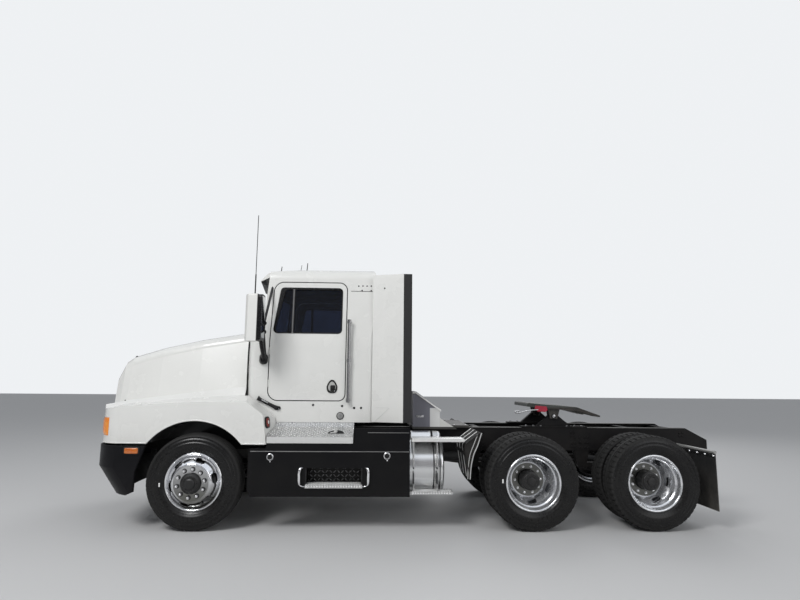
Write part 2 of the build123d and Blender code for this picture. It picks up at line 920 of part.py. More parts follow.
def hood_outer(inset, bottom):
    """Whole outer form of the hood with both fenders, set in by a wall."""
    form = fender_body(inset, bottom) + hood_body(inset)
    rear_box = block(
        (hood_rear_x, fender_tail_x + 50), (-fender_tail_inner_y, fender_tail_inner_y), (800, 2600)
    )
    above = block((hood_rear_x, fender_tail_x + 50), (-1400, 1400), (1480, 2600))
    form = form - rear_box - above
    for cut in tail_cut(inset):
        form = form - cut - mirror(cut, about=Plane.XZ)
    return form


def hood_ear(y):
    """Bent arm from the nose's lip, back and down to the pivot, to pass over the bumper as the hood tilts."""
    skin_x = nose_centre_x + (nose_corner_x - nose_centre_x) * (y / nose_corner_y) ** 2
    front = skin_x + hood_wall / 2
    rear = hood_pivot_x + hood_ear_reach
    throat = hood_pivot_x + hood_ear_throat
    r = hood_ear_radius
    outline = [
        (front, nose_lip_z + 4),
        (front, grille_z[0] - 4),
        (rear, grille_z[0] - 4),
        (rear, hood_pivot_z + r),
        (hood_pivot_x + r, hood_pivot_z - r),
        (hood_pivot_x - r / 2, hood_pivot_z - r),
        (hood_pivot_x - r, hood_pivot_z),
        (hood_pivot_x - r / 2, hood_pivot_z + r),
        (throat, hood_pivot_z + 1.7 * r),
        (throat, nose_lip_z + 4),
    ]
    ear = slab(outline, y - hood_ear_wall / 2, y + hood_ear_wall / 2)
    bore = hood_pin_radius + bearing_gap
    return ear - across_rod(hood_pivot_x, hood_pivot_z, y - hood_ear_wall, y + hood_ear_wall, bore)


def hood():
    """Moulded hood with its fenders: outer form less its inside, wheel arches, liners and the grille opening."""
    outer = hood_outer(0, hood_bottom_z)
    inner = hood_outer(hood_wall, hood_bottom_z - 50)
    void_rear = block((hood_rear_x - 100, hood_rear_x + 10), (-880, 880), (hood_bottom_z - 50, 1475))
    shell = outer - inner - void_rear
    liner_band = across_rod(arch_centre_x, arch_centre_z, -wide_y, -arch_inner_y, arch_radius + liner_wall)
    liner_disc = across_rod(
        arch_centre_x, arch_centre_z, -arch_inner_y - liner_wall, -arch_inner_y, arch_radius + liner_wall
    )
    arch = across_rod(arch_centre_x, arch_centre_z, -wide_y, -arch_inner_y - liner_wall, arch_radius)
    above_bottom = block((-900, 900), (-wide_y, 0), (hood_bottom_z, 1300))
    liner = ((liner_band + liner_disc) & above_bottom) & outer
    for side in (liner, mirror(liner, about=Plane.XZ)):
        shell = shell + side
    shell = shell - arch - mirror(arch, about=Plane.XZ)
    lip = block((front_x - 50, nose_corner_x + 60), (-nose_corner_y, nose_corner_y), (800, nose_lip_z))
    opening = block((front_x - 50, nose_corner_x + 60), (-grille_half_width, grille_half_width), grille_z)
    shell = shell - lip - opening
    for y in (-hood_pivot_y, hood_pivot_y):
        shell = shell + hood_ear(y)
    return shell


# Grille
grille_half_width = 430
grille_z = [985, 1560]
bar_count = 11
bar_thickness = 12
bar_depth = 26
post_width = 18


def grille():
    """Slats between two posts and a middle post, standing in the nose opening."""
    x_span = (nose_centre_x + hood_wall + 4, nose_centre_x + hood_wall + 4 + bar_depth)
    pitch = (grille_z[1] - grille_z[0]) / (bar_count + 1)
    shape = Part()
    for y in (-grille_half_width + post_width / 2, 0, grille_half_width - post_width / 2):
        shape = shape + block(x_span, (y - post_width / 2, y + post_width / 2), grille_z)
    for i in range(1, bar_count + 1):
        low_z = grille_z[0] + i * pitch - bar_thickness / 2
        bar = block(x_span, (-grille_half_width, grille_half_width), (low_z, low_z + bar_thickness))
        shape = shape + bar
    return shape


hinge_plate_wall = 12
hinge_side_gap = 1


def hinge_brackets():
    """Brackets from the rail fronts to the hood's pivot, each with its pin."""
    parts = []
    rail_bottom = rail_top - rail_height
    r = hood_ear_radius
    inner = hood_ear_wall / 2 + hinge_side_gap
    outer = inner + hinge_plate_wall
    for side in (-1, 1):
        outline = [
            (rail_front_x, rail_bottom),
            (rail_front_x, rail_top - rail_height / 4),
            (hood_pivot_x - r / 4, hood_pivot_z + r),
            (hood_pivot_x - r, hood_pivot_z),
            (hood_pivot_x - r / 4, hood_pivot_z - r),
            (rail_front_x - rail_flange, rail_bottom),
        ]
        shape = slab(outline, *sorted((side * (hood_pivot_y + inner), side * (hood_pivot_y + outer))))
        pin_y = sorted((side * (hood_pivot_y - inner), side * (hood_pivot_y + outer)))
        shape = shape + across_rod(hood_pivot_x, hood_pivot_z, *pin_y, hood_pin_radius)
        foot_y = sorted((side * (rail_outer_y - rail_flange), side * (hood_pivot_y + outer)))
        foot_z = (rail_bottom, rail_top - rail_height / 4)
        foot = block((rail_front_x - hinge_plate_wall, rail_front_x), foot_y, foot_z)
        parts.append(shape + foot)
    return group(*parts)


# Cab
def cab_form(inset, corner):
    """Outer form of the cab set in by a thickness: side, front and plan outlines, with a swept windscreen."""
    x0, x1 = cab_front_x + inset, cab_rear_x - inset
    eave_x = screen_base_x + screen_rake * (cab_eave_z - cowl_top_z) + inset
    cowl_x = screen_base_x - screen_reveal + inset
    side_edges = [
        (x0, cab_bottom_z),
        (x1, cab_bottom_z),
        (x1, roof_side_z + roof_rear_rise - inset),
        (roof_crest_x, roof_crown_z - inset),
        (roof_front_x + inset, roof_front_z - inset),
        (eave_x, cab_eave_z - inset),
        (cowl_x, cowl_top_z - inset),
        (x0, cowl_top_z - inset),
    ]
    side_radii = [0, 0, roof_rear_radius - inset, roof_crest_radius, roof_brow_radius - inset, 0, 0, 0]
    side = slab(side_edges, -1200, 1200, side_radii)
    half, top_half = cab_half_width - inset, roof_half_width - inset
    front_points = [
        (-half, cab_bottom_z),
        (half, cab_bottom_z),
        (half, cab_belt_z),
        (top_half, roof_side_z - inset),
        (0, roof_crown_z - inset),
        (-top_half, roof_side_z - inset),
        (-half, cab_belt_z),
    ]
    belt, eave = belt_radius - inset, eave_radius - inset
    front_radii = [0, 0, belt, eave, roof_crest_radius, eave, belt]
    front = front_bar(front_points, 300, 2000, front_radii)
    plan_points = [(x0, -half), (x1, -half), (x1, half), (x0, half)]
    plan = plan_plate(plan_points, cab_bottom_z - 100, roof_crown_z + 100, corner)
    return (side & front & plan) - screen_cut(inset)


def screen_cut(inset):
    """Space in front of the swept, raked windscreen, above the cowl."""
    normal_length = math.sqrt(1 + screen_sweep**2 + screen_rake**2)
    reach = 1250
    faces = []
    for z in (cowl_top_z - inset, cowl_top_z - inset + 1000):
        x = screen_base_x + inset * normal_length + screen_rake * (z - cowl_top_z)
        side_x = x + screen_sweep * reach
        points = [(0, -reach), (side_x, -reach), (x, 0), (side_x, reach), (0, reach)]
        faces.append(Pos(0, 0, z) * make_face(Polyline(*points, close=True)))
    return loft(faces, ruled=True)


def door_outline(grow):
    """Side outline of the door, grown by a gap."""
    points = [
        (door_front_x - grow, door_bottom_z - grow),
        (door_rear_x + grow, door_bottom_z - grow),
        (door_rear_x + grow, door_top_z + grow),
        (door_front_x + 26 - grow, door_top_z + grow),
        (door_front_x - grow, cab_belt_z),
    ]
    radii = [105 + grow, 70 + grow, 85 + grow, 105 + grow, 400]
    return points, radii


def window_outline():
    points = [
        (window_front_low_x, window_bottom_z),
        (window_rear_x, window_bottom_z),
        (window_rear_x, window_top_z),
        (window_front_high_x, window_top_z),
    ]
    return points, window_corner


def door_panel(outer, inner):
    """Driver's side door, cut from the cab wall, with its window opening and the bar of the vent window."""
    points, radii = door_outline(0)
    wall = (outer - inner) & slab(points, -1200, -500, radii)
    window_points, window_radius = window_outline()
    panel = wall - slab(window_points, -1200, -500, window_radius)
    bar = wall & block((vent_bar_x - vent_bar_width / 2, vent_bar_x + vent_bar_width / 2), (-1200, -500), (
        window_bottom_z - 5, window_top_z + 5))
    bar = bar - (glass_layer_form & block((0, 3000), (-1200, 0), (0, 3000)))
    y = -cab_half_width - door_hinge_out
    for z in hinge_barrel_z:
        panel = panel + rod((door_front_x, y, z), (door_front_x, y, z + hinge_barrel_length), hinge_barrel_radius)
    return panel + bar


def door_glass():
    points, radius = window_outline()
    return glass_layer_form & slab(points, -1200, -500, radius)


windscreen_post = 30
windscreen_side_y = 830
windscreen_z = [2185, 2655]
rear_window_half = 480
rear_window_z = [2060, 2520]


def screen_openings():
    """Both windscreen panes and the rear window, as cutters."""
    cutters = []
    for side in (-1, 1):
        points = [
            (side * windscreen_post, windscreen_z[0]),
            (side * windscreen_side_y, windscreen_z[0]),
            (side * (windscreen_side_y - 20), windscreen_z[1]),
            (side * windscreen_post, windscreen_z[1]),
        ]
        cutters.append(front_bar(points, 380, 850, 35))
    rear_points = [
        (-rear_window_half, rear_window_z[0]),
        (rear_window_half, rear_window_z[0]),
        (rear_window_half, rear_window_z[1]),
        (-rear_window_half, rear_window_z[1]),
    ]
    cutters.append(front_bar(rear_points, cab_rear_x - 120, cab_rear_x + 100, 45))
    return cutters


def cab_shell(outer, inner):
    """Hollow cab with its floor, door openings and window openings."""
    room = block((0, 3000), (-1500, 1500), (floor_top_z, 3500))
    under = block((0, 3000), (-1500, 1500), (0, floor_top_z - floor_thickness))
    shell = outer - (inner & room) - (inner & under)
    points, radii = door_outline(door_gap)
    opening = slab(points, -1200, -500, radii)
    shell = shell - opening - mirror(opening, about=Plane.XZ)
    for cutter in screen_openings():
        shell = shell - cutter
    return shell


def cab_glass():
    shapes = [glass_layer_form & cutter for cutter in screen_openings()]
    return group(*shapes)


def sun_visor():
    """Visor above the windscreen, swept back from the middle like the glass."""
    faces = []
    for y in (-visor_half_width, 0, visor_half_width):
        x = screen_base_x + screen_rake * (cab_eave_z - cowl_top_z) + screen_sweep * abs(y)
        points = [
            (x + visor_root, visor_z[1] - visor_drop),
            (x - visor_drop, visor_z[1]),
            (x - visor_reach, visor_z[0] + visor_thickness),
            (x - visor_reach, visor_z[0]),
            (x + visor_root, visor_z[1] - 2.5 * visor_thickness),
        ]
        plane = Plane(origin=(0, y, 0), x_dir=(1, 0, 0), z_dir=(0, -1, 0))
        faces.append(plane * make_face(Polyline(*points, close=True)))
    return loft(faces, ruled=True)


# Bumper
def bumper_plan(shift, inset):
    """Plan of the bumper, moved back by a shift and set in by a wall."""
    corner = (bumper_corner_x + shift, bumper_corner_y)
    middle = (bumper_middle_x + shift, bumper_middle_y)
    side = (bumper_side_x + shift, bumper_side_y)
    return swept_plan(front_x + shift, corner, middle, side, (bumper_end_x, bumper_side_y), inset)


def bumper():
    """Wrap-round bumper with a chin that slopes back, hollow behind."""
    def form(inset):
        upper = Pos(0, 0, bumper_bend_z) * extrude(bumper_plan(0, inset), amount=bumper_top_z - bumper_bend_z)
        foot = Pos(0, 0, bumper_bottom_z) * bumper_plan(bumper_sweep, inset)
        lower = loft([foot, Pos(0, 0, bumper_bend_z) * bumper_plan(0, inset)], ruled=True)
        return upper + lower

    side = slab(
        [
            (front_x - 10, bumper_bottom_z - 10),
            (bumper_foot_x, bumper_bottom_z - 10),
            (bumper_heel_x, bumper_heel_z),
            (bumper_back_x, bumper_back_z),
            (bumper_top_x, bumper_top_z + 10),
            (front_x - 10, bumper_top_z + 10),
        ],
        -wide_y,
        wide_y,
    )
    void = form(bumper_wall)
    shell = (form(0) & side) - void
    rail_bottom = rail_top - rail_height
    for side_sign in (-1, 1):
        y_span = sorted((side_sign * (rail_outer_y - rail_flange), side_sign * (rail_outer_y - rail_flange + 24)))
        arm = block((front_x + bumper_wall / 2, rail_front_x + 100), y_span, (rail_bottom - 60, rail_bottom))
        shell = shell + arm
    return shell


# Side extenders
def side_extender():
    """Driver's side panel from the cab's rear corner, flaring out to the rear, with its rubber strip."""
    start = (cab_rear_x - extender_lap, -cab_half_width - 0.5)
    middle = (cab_rear_x + extender_bow_x, -cab_half_width - extender_bow_y)
    end = (extender_rear_x, -extender_rear_y)
    inner = [(x, y + extender_wall) for x, y in (end, middle)]
    plan = make_face([
        ThreePointArc(start, middle, end),
        Line(end, inner[0]),
        ThreePointArc(inner[0], inner[1], (cab_rear_x + 4, -cab_half_width + extender_wall - 8)),
        Line((cab_rear_x + 4, -cab_half_width + extender_wall - 8), (cab_rear_x + 4, -cab_half_width - 0.5)),
        Line((cab_rear_x + 4, -cab_half_width - 0.5), start),
    ])
    panel = Pos(0, 0, extender_bottom_z) * extrude(plan, amount=extender_top_z - extender_bottom_z)
    y = -extender_rear_y + (extender_wall - strip_thickness) / 2
    strip = block((extender_rear_x, strip_rear_x), (y, y + strip_thickness), (extender_bottom_z, extender_top_z))
    return panel + strip


# Mirror
def mirror_set(whip_lean):
    """Driver's side mirror head on its bent tube and clamps, with the whip aerial above it."""
    low_z, high_z = mirror_head_z
    head = plan_plate(mirror_plan, low_z, high_z, mirror_corner)
    head = fillet(head.edges().filter_by(Axis.Z, reverse=True).group_by(Axis.Z)[-1], mirror_end_radius)
    knees = [(x, -y, z) for x, y, z in mirror_tube]
    shape = head
    for start, end in zip(knees, knees[1:]):
        shape = shape + rod(start, end, mirror_tube_radius)
    for knee in knees[1:-1]:
        shape = shape + Pos(*knee) * Sphere(mirror_tube_radius)
        shape = shape + rod(knee, (mirror_clamp_x, knee[1] - mirror_clamp_reach, knee[2]), mirror_tube_radius)
    foot_x, foot_y, foot_z = mirror_tube[-1]
    shape = shape + rod((foot_x, -cab_half_width - 18, foot_z), (foot_x, -foot_y, foot_z), mirror_foot_radius)
    x, y = whip_place
    base, tip = (x, -y, high_z - 4), (x + whip_lean, -y, whip_tip_z)
    spring = (x + 0.25 * whip_lean, -y, high_z + 0.25 * (whip_tip_z - high_z))
    return shape + rod(base, spring, whip_base_radius) + rod(base, tip, whip_radius)


def grab_handle():
    """Driver's side handle behind the door, on three feet."""
    x, y = grab_x, -cab_half_width - grab_stand
    low_z, high_z = grab_z
    shape = rod((x, y, low_z), (x, y, high_z), grab_radius)
    for z in (low_z + 16, (low_z + high_z) / 2, high_z - 16):
        shape = shape + rod((x, y, z), (x, -roof_half_width, z), grab_radius - 3)
    return shape - cab_outer


# Skirts and steps
def side_skirt():
    """Driver's side skirt panel with a recessed step box and brackets to the rail."""
    outline = [
        (skirt_front_x, skirt_bottom_z + 60),
        (skirt_front_x + 40, skirt_bottom_z),
        (skirt_rear_x, skirt_bottom_z),
        (skirt_rear_x, skirt_rear_top_z),
        (step_x[1] + 15, skirt_rear_top_z),
        (step_x[1] + 15, step_lip_z[0] - 4),
        (step_x[0] + 8, step_lip_z[0] - 4),
        (step_x[0] - 7, skirt_front_top_z),
        (skirt_front_x, skirt_front_top_z),
    ]
    panel = slab(outline, -skirt_y, -skirt_y + skirt_wall)
    hole = block(side_step_x, (-skirt_y - 1, -skirt_y + skirt_wall + 1), side_step_z)
    back = block(
        (side_step_x[0] - skirt_wall, side_step_x[1] + skirt_wall),
        (-skirt_y + skirt_wall, -skirt_y + side_step_depth + skirt_wall),
        (side_step_z[0] - skirt_wall, side_step_z[1] + skirt_wall),
    )
    room = block(side_step_x, (-skirt_y, -skirt_y + side_step_depth), side_step_z)
    shape = (panel - hole) + (back - room)
    for x in skirt_bracket_x:
        bracket = block((x, x + skirt_bracket_width), (-skirt_y + skirt_wall - 1, -rail_outer_y), skirt_bracket_z)
        shape = shape + bracket
    return shape


def side_step():
    """Tread in the recess, with two upright handles."""
    low, high = side_step_z
    tread_y = (-skirt_y - side_step_proud, -skirt_y + side_step_depth)
    shape = block(side_step_x, tread_y, (low, low + side_step_thickness))
    for x in (side_step_x[0] + step_rod_radius, side_step_x[1] - step_rod_radius):
        shape = shape + rod((x, -skirt_y, low + side_step_thickness - 4), (x, -skirt_y, high), step_rod_radius)
    return shape


def sloped_step():
    """Tread plate under the door: a lip, a slope and a fold up to the sill, cut round the fender's tail."""
    top_z = cab_bottom_z - 2
    outer = [(-skirt_y, step_lip_z[0]), (-skirt_y, step_lip_z[1]), (-step_fold_y, step_fold_z), (-step_top_y, top_z)]
    inner = [
        (-step_top_y + step_lean, top_z),
        (-step_fold_y + step_wall / 2, step_fold_z - step_wall),
        (-skirt_y + step_wall, step_lip_z[1] - step_wall),
        (-skirt_y + step_wall, step_lip_z[0]),
    ]
    skin = front_bar(outer + inner, *step_x)
    end_outline = outer + [(-step_top_y + step_lean, top_z), (-step_top_y + step_lean, step_lip_z[0])]
    end = front_bar(end_outline, step_x[1] - step_wall, step_x[1])
    return (skin + end) - tail_room(tail_gap)


def tank_steps():
    """Tread above the tank and tread below it, on hanger plates."""
    upper = block(tank_step_x, (-skirt_y, -tank_step_inner_y), upper_tank_step_z)
    lower = block((skirt_rear_x + 6, lower_tank_step_rear_x), (-skirt_y, -lower_tank_step_inner_y), lower_tank_step_z)
    tank = fuel_tank()
    for x in tank_hanger_x:
        x_span = (x, x + tank_hanger_wall)
        hanger = block(x_span, (-skirt_y + 8, -tank_step_inner_y), (tank_centre_z, upper_tank_step_z[0]))
        upper = upper + (hanger - tank)
        hanger = block(x_span, (-skirt_y + 8, -lower_tank_step_inner_y), (lower_tank_step_z[1], tank_centre_z - 40))
        lower = lower + (hanger - tank)
    return group(upper, lower)


def fuel_tank():
    """Driver's side tank with rounded rims, its straps and a saddle from each to the rail."""
    start, end = (tank_x[0], -tank_centre_y, tank_centre_z), (tank_x[1], -tank_centre_y, tank_centre_z)
    tank = rod(start, end, tank_radius)
    tank = fillet(tank.edges().filter_by(GeomType.CIRCLE), tank_rim_radius)
    saddle_z = (tank_centre_z - 40, rail_top - 65)
    for x in strap_x:
        strap = rod(
            (x, -tank_centre_y, tank_centre_z),
            (x + strap_width, -tank_centre_y, tank_centre_z),
            tank_radius + strap_thickness,
        )
        saddle = block((x, x + strap_width), (-tank_centre_y + 100, -rail_outer_y), saddle_z)
        tank = tank + strap + saddle
    return tank


def deck():
    """Plate on the rails behind the cab, the box with a sloping lid that stands on it, and a wedge behind the box."""
    plate = block(deck_x, (-deck_half_width, deck_half_width), (rail_top, rail_top + deck_thickness))
    box_outline = [
        (box_x[0], rail_top),
        (box_x[1], rail_top),
        (box_x[1], box_rear_z),
        (box_x[0] + box_ridge, box_front_z),
        (box_x[0], box_front_z),
    ]
    lid_outline = [
        (box_x[0] - 5, box_front_z),
        (box_x[0] - 5, box_front_z + box_lid),
        (box_x[0] + box_ridge + 5, box_front_z + box_lid),
        (box_x[1] + 12, box_rear_z + box_lid),
        (box_x[1] + 12, box_rear_z - box_lid),
        (box_x[0] + box_ridge, box_front_z - box_lid),
    ]
    lid = slab(lid_outline, box_y[0] - box_lid, box_y[1] + box_lid)
    wedge = slab([(box_x[1], rail_top), (wedge_end_x, rail_top), (box_x[1], wedge_top_z)], box_y[0], box_y[0] + 200)
    return plate + slab(box_outline, *box_y) + lid + wedge


# Quarter fenders and flaps
def quarter_fender():
    """Driver's side folded plate ahead of the forward duals, on a bracket from the rail."""
    shift_x, shift_z = quarter_sheet_shift
    front = [(x + shift_x, z + shift_z) for x, z in reversed(quarter_points)]
    radii = [0, quarter_fold_radius, 0]
    sheet = slab(quarter_points + front, -dual_outer_y, -dual_inner_y + 10, radii + radii)
    x, z = quarter_bracket
    return sheet + rod((x, -rail_outer_y, z), (x, -dual_outer_y + 40, z), quarter_bracket_radius)


def mud_flap():
    """Driver's side flap and the hanger bar that carries it from the rail."""
    y_low, y_high = -dual_outer_y - 6, -dual_inner_y
    bar_z = flap_top_z + hanger_radius
    flap = block((flap_x, flap_x + flap_thickness), (y_low, y_high), (flap_bottom_z, bar_z))
    return flap + across_rod(flap_x + flap_thickness / 2, bar_z, y_low, -rail_outer_y, hanger_radius)


# Fifth wheel
def fifth_wheel_base():
    """Two pedestals with pins, on angles along the rails."""
    parts = []
    for side in (-1, 1):
        y_span = sorted((side * (pedestal_y - pedestal_wall / 2), side * (pedestal_y + pedestal_wall / 2)))
        outline = [
            (plate_pivot_x - pedestal_base / 2, rail_top + foot_thickness),
            (plate_pivot_x + pedestal_base / 2, rail_top + foot_thickness),
            (plate_pivot_x + 2 * plate_pin_radius, plate_pivot_z + 10),
            (plate_pivot_x, plate_pivot_z + 48),
            (plate_pivot_x - 2 * plate_pin_radius, plate_pivot_z + 10),
        ]
        pedestal = slab(outline, *y_span)
        foot = block(
            (plate_pivot_x - foot_half_length, plate_pivot_x + foot_half_length),
            sorted((side * (pedestal_y - pedestal_wall), side * (rail_outer_y + 8))),
            (rail_top, rail_top + foot_thickness),
        )
        pin_y = sorted((side * (pedestal_y - pedestal_wall), side * (pedestal_y + pedestal_wall)))
        pin = across_rod(plate_pivot_x, plate_pivot_z, *pin_y, plate_pin_radius)
        parts.append(pedestal + foot + pin)
    return group(*parts)


def fifth_wheel_plate():
    """Top plate with its throat, ramps, side skirts and the two saddles on the pins."""
    top = plate_top_over_pivot
    low = top - plate_thickness
    outline = [
        (-plate_front, low),
        (-plate_front, top - 12),
        (-plate_front + 12, top),
        (plate_rear, top),
        (ramp_reach, top - ramp_drop),
        (ramp_reach, top - ramp_drop - 20),
        (plate_rear - 20, low),
    ]
    deck = slab(outline, -plate_half_width, plate_half_width)
    corner = plate_corner
    plan = plan_plate(
        [
            (-plate_front, -plate_half_width + corner),
            (-plate_front + corner, -plate_half_width),
            (plate_rear, -plate_half_width),
            (ramp_reach, -plate_half_width + 40),
            (ramp_reach, -throat_mouth_half),
            (plate_rear - 60, -throat_half_width),
            (0, -jaw_radius),
            (0, jaw_radius),
            (plate_rear - 60, throat_half_width),
            (ramp_reach, throat_mouth_half),
            (ramp_reach, plate_half_width - 40),
            (plate_rear, plate_half_width),
            (-plate_front + corner, plate_half_width),
            (-plate_front, plate_half_width - corner),
        ],
        -200,
        200,
    )
    plate = (deck & plan) - rod((0, 0, -200), (0, 0, 200), jaw_radius)
    for side in (-1, 1):
        for inner_y, outer_y in ((pedestal_y - 54, pedestal_y - 34), (pedestal_y + 34, pedestal_y + 54)):
            saddle = slab(
                [(-70, low + 1), (-45, -30), (45, -30), (70, low + 1)], *sorted((side * inner_y, side * outer_y))
            )
            plate = plate + saddle
    plate = plate - across_rod(0, 0, -500, 500, plate_pin_radius + bearing_gap)
    return Pos(plate_pivot_x, 0, plate_pivot_z) * Rot(0, plate_rest_tilt, 0) * plate


# Inside the cab
def seat(y):
    """Seat on its pedestal, with a cushion and a back."""
    half = seat_width / 2
    front_x, rear_x = seat_x
    low, high = seat_cushion_z
    base = block((front_x + 60, rear_x - 60), (y - 0.6 * half, y + 0.6 * half), (seat_base_z, low))
    cushion_outline = [(front_x, low), (rear_x, low), (rear_x, high - 20), (front_x, high)]
    cushion = slab(cushion_outline, y - half, y + half, seat_edge_radius)
    back_outline = [
        (rear_x - seat_back_depth, high - 60),
        (rear_x + 20, high - 90),
        (rear_x + seat_back_lean + 100, seat_back_top_z),
        (rear_x + seat_back_lean, seat_back_top_z),
    ]
    back = slab(back_outline, y - half + 10, y + half - 10, seat_edge_radius)
    return base + cushion + back


def column_axis():
    lean = math.radians(column_lean)
    return Vector(math.sin(lean), 0, math.cos(lean))


def dashboard():
    """Dashboard across the cab, with the steering column out of it."""
    outline = [
        (dash_x[0], dash_z[0]),
        (dash_x[1] - 90, dash_z[0]),
        (dash_x[1], dash_z[1] - 90),
        (dash_x[1] - 60, dash_z[1]),
        (dash_x[0], dash_z[1]),
    ]
    half = cab_half_width - cab_wall - dash_side_gap
    top = Vector(steering_wheel_x, -seat_y, steering_wheel_z) - column_axis() * column_top_gap
    foot = top - column_axis() * column_length
    return slab(outline, -half, half) + rod(tuple(foot), tuple(top), column_radius)


def steering_wheel():
    """Rim, three spokes and hub on the column's axis."""
    plane = Plane(origin=(steering_wheel_x, -seat_y, steering_wheel_z), z_dir=column_axis())
    rim = plane.location * Torus(steering_wheel_radius, steering_wheel_tube)
    hub = plane.location * Pos(0, 0, -8) * Cylinder(wheel_hub_radius, 48)
    shape = rim + hub
    for angle in (0, 120, 240):
        bar = Box(steering_wheel_radius - 10, wheel_spoke_width, 10)
        spoke = Rot(0, 0, angle) * Pos(steering_wheel_radius / 2, 0, 0) * bar
        shape = shape + plane.location * spoke
    return shape


# Under the frame
def muffler():
    """Muffler on the passenger's side with its pipes and two hangers."""
    y, z = muffler_y, muffler_z
    front_x, rear_x = muffler_x
    shape = rod((front_x, y, z), (rear_x, y, z), muffler_radius)
    inlet = (front_x - 140, y - 120, z + 20)
    shape = shape + rod(inlet, (front_x + 20, y, z), exhaust_radius)
    shape = shape + rod((rear_x - 10, y, z), (rear_x + 190, y, z - 20), exhaust_radius)
    for x in (front_x + 80, rear_x - 120):
        hanger = block((x, x + 50), (rail_outer_y, y), (z + muffler_radius - 65, z + muffler_radius + 5))
        shape = shape + hanger
    return shape


def air_tanks():
    """Two air tanks between the rails, under a crossmember."""
    front_x, rear_x = air_tank_x
    return [rod((front_x, y, air_tank_z), (rear_x, y, air_tank_z), air_tank_radius) for y in (-air_tank_y, air_tank_y)]


def lamps():
    """Headlamp and turn lamp of the driver's side, on the fender's front corner."""
    skin = hood_outer(-lamp_proud, hood_bottom_z) - hood_outer(0, hood_bottom_z)
    turn = skin & block(lamp_x, turn_lamp_y, lamp_z)
    head = skin & block(lamp_x, head_lamp_y, lamp_z)
    return group(turn, head)


cab_outer = cab_form(0, cab_corner_radius)
cab_inner = cab_form(cab_wall, 0)
glass_layer_form = cab_form(glass_inset, 0) - cab_form(glass_inset + glass_thickness, 0)
nodes = {}

front_tyre, front_wheel = front_wheel_nodes()
nodes["tyre_front_left"] = front_tyre
nodes["wheel_front_left"] = front_wheel
nodes["tyre_front_right"] = mirror(front_tyre, about=Plane.XZ)
nodes["wheel_front_right"] = mirror(front_wheel, about=Plane.XZ)
for axle_name, axle_x in zip(("mid", "rear"), drive_axle_x):
    tyres, wheels = dual_wheel_nodes(axle_x)
    nodes[f"tyres_{axle_name}_left"] = tyres
    nodes[f"wheels_{axle_name}_left"] = wheels
    nodes[f"tyres_{axle_name}_right"] = mirror(tyres, about=Plane.XZ)
    nodes[f"wheels_{axle_name}_right"] = mirror(wheels, about=Plane.XZ)

nodes["frame_rails"] = both_sides(frame_rail())
nodes["crossmembers"] = group(*[crossmember(x) for x in crossmember_x])
nodes["front_axle_beam"] = front_axle_beam()
nodes["front_springs"] = both_sides(front_spring())
nodes["knuckle_left"] = knuckle()
nodes["knuckle_right"] = mirror(knuckle(), about=Plane.XZ)
nodes["tie_rod"] = tie_rod()
nodes["drive_axles"] = group(drive_axle(drive_axle_x[0]) + drive_axle(drive_axle_x[1]) + propeller_shafts())
nodes["rear_suspension"] = group(*[both_sides(suspension_arm(x)) for x in drive_axle_x])
nodes["powertrain_block"] = powertrain_block()
nodes["radiator"] = block(radiator_x, (-radiator_half_width, radiator_half_width), radiator_z)
nodes["hood"] = hood()
nodes["grille"] = grille()
nodes["lamps"] = both_sides(lamps())
nodes["hood_hinges"] = hinge_brackets()
nodes["cab_shell"] = cab_shell(cab_outer, cab_inner)
nodes["cab_glass"] = cab_glass()
nodes["door_left"] = door_panel(cab_outer, cab_inner)
nodes["door_right"] = mirror(nodes["door_left"], about=Plane.XZ)
nodes["door_glass_left"] = door_glass()
nodes["door_glass_right"] = mirror(nodes["door_glass_left"], about=Plane.XZ)
nodes["sun_visor"] = sun_visor() - cab_outer
nodes["bumper"] = bumper()
nodes["side_extenders"] = both_sides(side_extender() - cab_outer)
whips = [mirror_set(0) - cab_outer, mirror(mirror_set(whip_lean_right) - cab_outer, about=Plane.XZ)]
nodes["mirrors"] = group(*whips)
nodes["grab_handles"] = both_sides(grab_handle())
nodes["side_skirts"] = both_sides(side_skirt())
nodes["steps"] = group(both_sides(side_step()), both_sides(sloped_step()), both_sides(tank_steps()))
nodes["fuel_tanks"] = both_sides(fuel_tank())
nodes["deck"] = deck()
nodes["quarter_fenders"] = both_sides(quarter_fender())
nodes["mud_flaps"] = both_sides(mud_flap())
nodes["fifth_wheel_base"] = fifth_wheel_base()
nodes["fifth_wheel_plate"] = fifth_wheel_plate()
nodes["seats"] = group(seat(-seat_y), seat(seat_y))
nodes["dashboard"] = dashboard()
nodes["steering_wheel"] = steering_wheel()
nodes["muffler"] = muffler()
nodes["air_tanks"] = group(*air_tanks())

os.makedirs("parts", exist_ok=True)
for name, shape in nodes.items():
    export_step(Pos(-centre_x, 0, 0) * shape, f"parts/{name}.step")
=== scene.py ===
import math

import bmesh
import bpy
import numpy as np
from mathutils import Matrix, Vector


